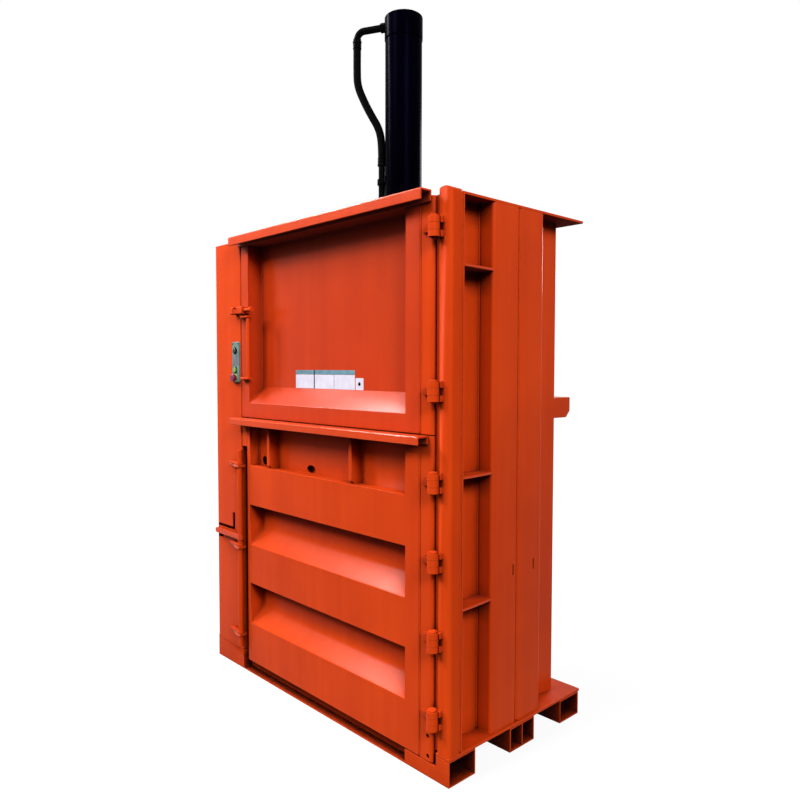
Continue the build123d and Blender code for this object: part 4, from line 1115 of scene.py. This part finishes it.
def station_trim():
    """Bezels, two cover screws, a blank legend plate and a collar under the stop button."""
    low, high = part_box("station_body")
    face = low.y
    middles = {n: (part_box(n)[0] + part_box(n)[1]) / 2 for n in BUTTONS}
    form = bmesh.new()
    for node in ("up_button", "down_button"):
        place = Vector((middles[node].x, face, middles[node].z))
        washer(form, place, OUTWARD, *BEZEL)
    for x in (low.x + 8 * MM, high.x - 8 * MM):
        hex_screw(form, Vector((x, face, high.z - 9 * MM)), OUTWARD, *STATION_SCREW)
    add_part(form, "station_bezels", "frame", BLACK)
    form = bmesh.new()
    slab(form, (low.x + 9 * MM, high.x - 9 * MM), (face + 0.4 * MM, face - 0.8 * MM),
         (middles["down_button"].z + 24 * MM, middles["up_button"].z - 24 * MM), 2 * MM, 0.3 * MM)
    add_part(form, "station_legend", "frame", LEGEND)
    form = bmesh.new()
    place = Vector((middles["stop_button"].x, face, middles["stop_button"].z))
    washer(form, place, OUTWARD, *STOP_COLLAR)
    add_part(form, "stop_collar", "frame", COLLAR)


def louvres():
    """Pressed hoods behind the side cover's cooling slots."""
    inner_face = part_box("side_cover")[0].x + 3 * MM
    back = REAR - 42 * MM
    front = back - 240 * MM
    reach, rise, drop = 14 * MM, 18 * MM, 2 * MM
    sheet = 1.5 * MM
    form = bmesh.new()
    for i in range(LOUVRES):
        z = LOUVRE_FIRST + i * LOUVRE_PITCH
        section = []
        for k in range(CORNER_STEPS + 1):
            a = math.pi / 2 * k / CORNER_STEPS
            section.append((inner_face + reach * math.sin(a), z - drop + rise * (1 - math.cos(a))))
        outline = section + [(x + sheet * 0.4, h - sheet) for x, h in reversed(section)]
        rings = [[form.verts.new((x, y, h)) for x, h in outline] for y in (front - INSET, back + INSET)]
        loft(form, rings)
        cap(form, rings)
    bmesh.ops.recalc_face_normals(form, faces=form.faces)
    add_part(form, "cover_louvres", "frame", PAINT)


def cover_screws():
    """Hexagon screws that hold the side cover, on its rear and outer faces."""
    low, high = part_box("side_cover")
    margin = 60 * MM
    inset = 22 * MM
    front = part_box("latch_post")[1].y + inset
    form = bmesh.new()
    for i in range(SCREW_ROWS):
        z = FLOOR + margin + i * (ROOF_UNDER - FLOOR - 2 * margin) / (SCREW_ROWS - 1)
        for x in (low.x + inset, high.x - inset):
            hex_screw(form, Vector((x, high.y, z)), -OUTWARD, *REAR_SCREW)
        hex_screw(form, Vector((low.x, front, z)), Vector((-1, 0, 0)), *SIDE_SCREW)
    add_part(form, "cover_screws", "frame", ZINC)


stickers()
station_trim()
louvres()
cover_screws()

# Stage

FLOOR_HALF = 40
FLOOR_GREY = 0.10
FLOOR_FADE = (1.2, 3.5)
FLOOR_NEAR = 0.90
WORLD_FILL = 0.03


def camera():
    data = bpy.data.cameras.new("view")
    data.lens = CAMERA_LENS
    data.sensor_width = SENSOR
    data.sensor_fit = "HORIZONTAL"
    data.clip_end = 100
    forward = Vector((-math.sin(CAMERA_YAW) * math.cos(CAMERA_PITCH),
                      math.cos(CAMERA_YAW) * math.cos(CAMERA_PITCH), -math.sin(CAMERA_PITCH)))
    right = Vector((math.cos(CAMERA_YAW), math.sin(CAMERA_YAW), 0))
    up = right.cross(forward)
    place = Matrix((right, up, -forward)).transposed().to_4x4()
    place = place @ Matrix.Rotation(CAMERA_ROLL, 4, "Z")
    place.translation = CAMERA_PLACE
    view = link("view", data)
    view.matrix_world = place
    bpy.context.scene.camera = view


def seen_white(tree):
    """1 where the camera, a mirror or glass looks, and 0 elsewhere."""
    path = tree.nodes.new("ShaderNodeLightPath").outputs
    seen = combined(tree, "MAXIMUM", path["Is Camera Ray"], path["Is Glossy Ray"])
    return combined(tree, "MAXIMUM", seen, path["Is Transmission Ray"])


def floor():
    """Pale floor that keeps a faint shadow and fades to plain white away from the object."""
    form = bmesh.new()
    bmesh.ops.create_grid(form, x_segments=1, y_segments=1, size=FLOOR_HALF)
    piece = finish_mesh(form, "floor", smooth=False)
    material = bpy.data.materials.new("floor_white")
    material.use_nodes = True
    tree = material.node_tree
    tree.nodes.clear()
    output = tree.nodes.new("ShaderNodeOutputMaterial")
    matt = tree.nodes.new("ShaderNodeBsdfDiffuse")
    matt.inputs["Color"].default_value = (FLOOR_GREY, FLOOR_GREY, FLOOR_GREY, 1)
    place = tree.nodes.new("ShaderNodeTexCoord")
    away = tree.nodes.new("ShaderNodeVectorMath")
    away.operation = "LENGTH"
    tree.links.new(place.outputs["Object"], away.inputs[0])
    fade = remap(tree, away.outputs["Value"], FLOOR_NEAR, 1.0, *FLOOR_FADE)
    glow = tree.nodes.new("ShaderNodeEmission")
    tree.links.new(combined(tree, "MULTIPLY", seen_white(tree), fade), glow.inputs["Strength"])
    both = tree.nodes.new("ShaderNodeAddShader")
    tree.links.new(matt.outputs[0], both.inputs[0])
    tree.links.new(glow.outputs[0], both.inputs[1])
    tree.links.new(both.outputs[0], output.inputs["Surface"])
    piece.data.materials.append(material)


def world():
    """White background for the camera and mirrors, with a faint fill for everything else."""
    sky = bpy.data.worlds.new("studio")
    bpy.context.scene.world = sky
    sky.use_nodes = True
    tree = sky.node_tree
    background = tree.nodes["Background"]
    background.inputs["Color"].default_value = (*WHITE, 1)
    tree.links.new(remap(tree, seen_white(tree), WORLD_FILL, 1.0), background.inputs["Strength"])


def lamp(name, place, target, size, power, roll=0.0):
    """Area lamp of a width and height, aimed at a target and rolled about its beam."""
    data = bpy.data.lights.new(name, "AREA")
    data.shape = "RECTANGLE"
    data.size, data.size_y = size
    data.energy = power
    light = link(name, data)
    light.location = place
    aim = (Vector(target) - Vector(place)).to_track_quat("-Z", "Y")
    light.rotation_euler = (aim @ Quaternion(UP, math.radians(roll))).to_euler()


camera()
floor()
world()
lamp("key", (-1.0, -8.0, 7.5), (0, -0.4, 1.2), (3.0, 3.0), 730)
lamp("side", (7.2, -3.2, 5.6), (0.8, 0, 1.2), (2.4, 2.4), 780)
lamp("left", (-5.0, -2.5, 5.95), (0.2, -0.4, 1.0), (4.2, 0.45), 740, -39)
lamp("strip", (-0.8, -5.0, 4.4), (0.1, 0.0, 2.7), (0.22, 1.2), 14)
lamp("back", (-0.6, 5.2, 3.4), (0, 0, 1.3), (2.0, 2.0), 190)
bpy.context.scene.view_settings.view_transform = "Standard"
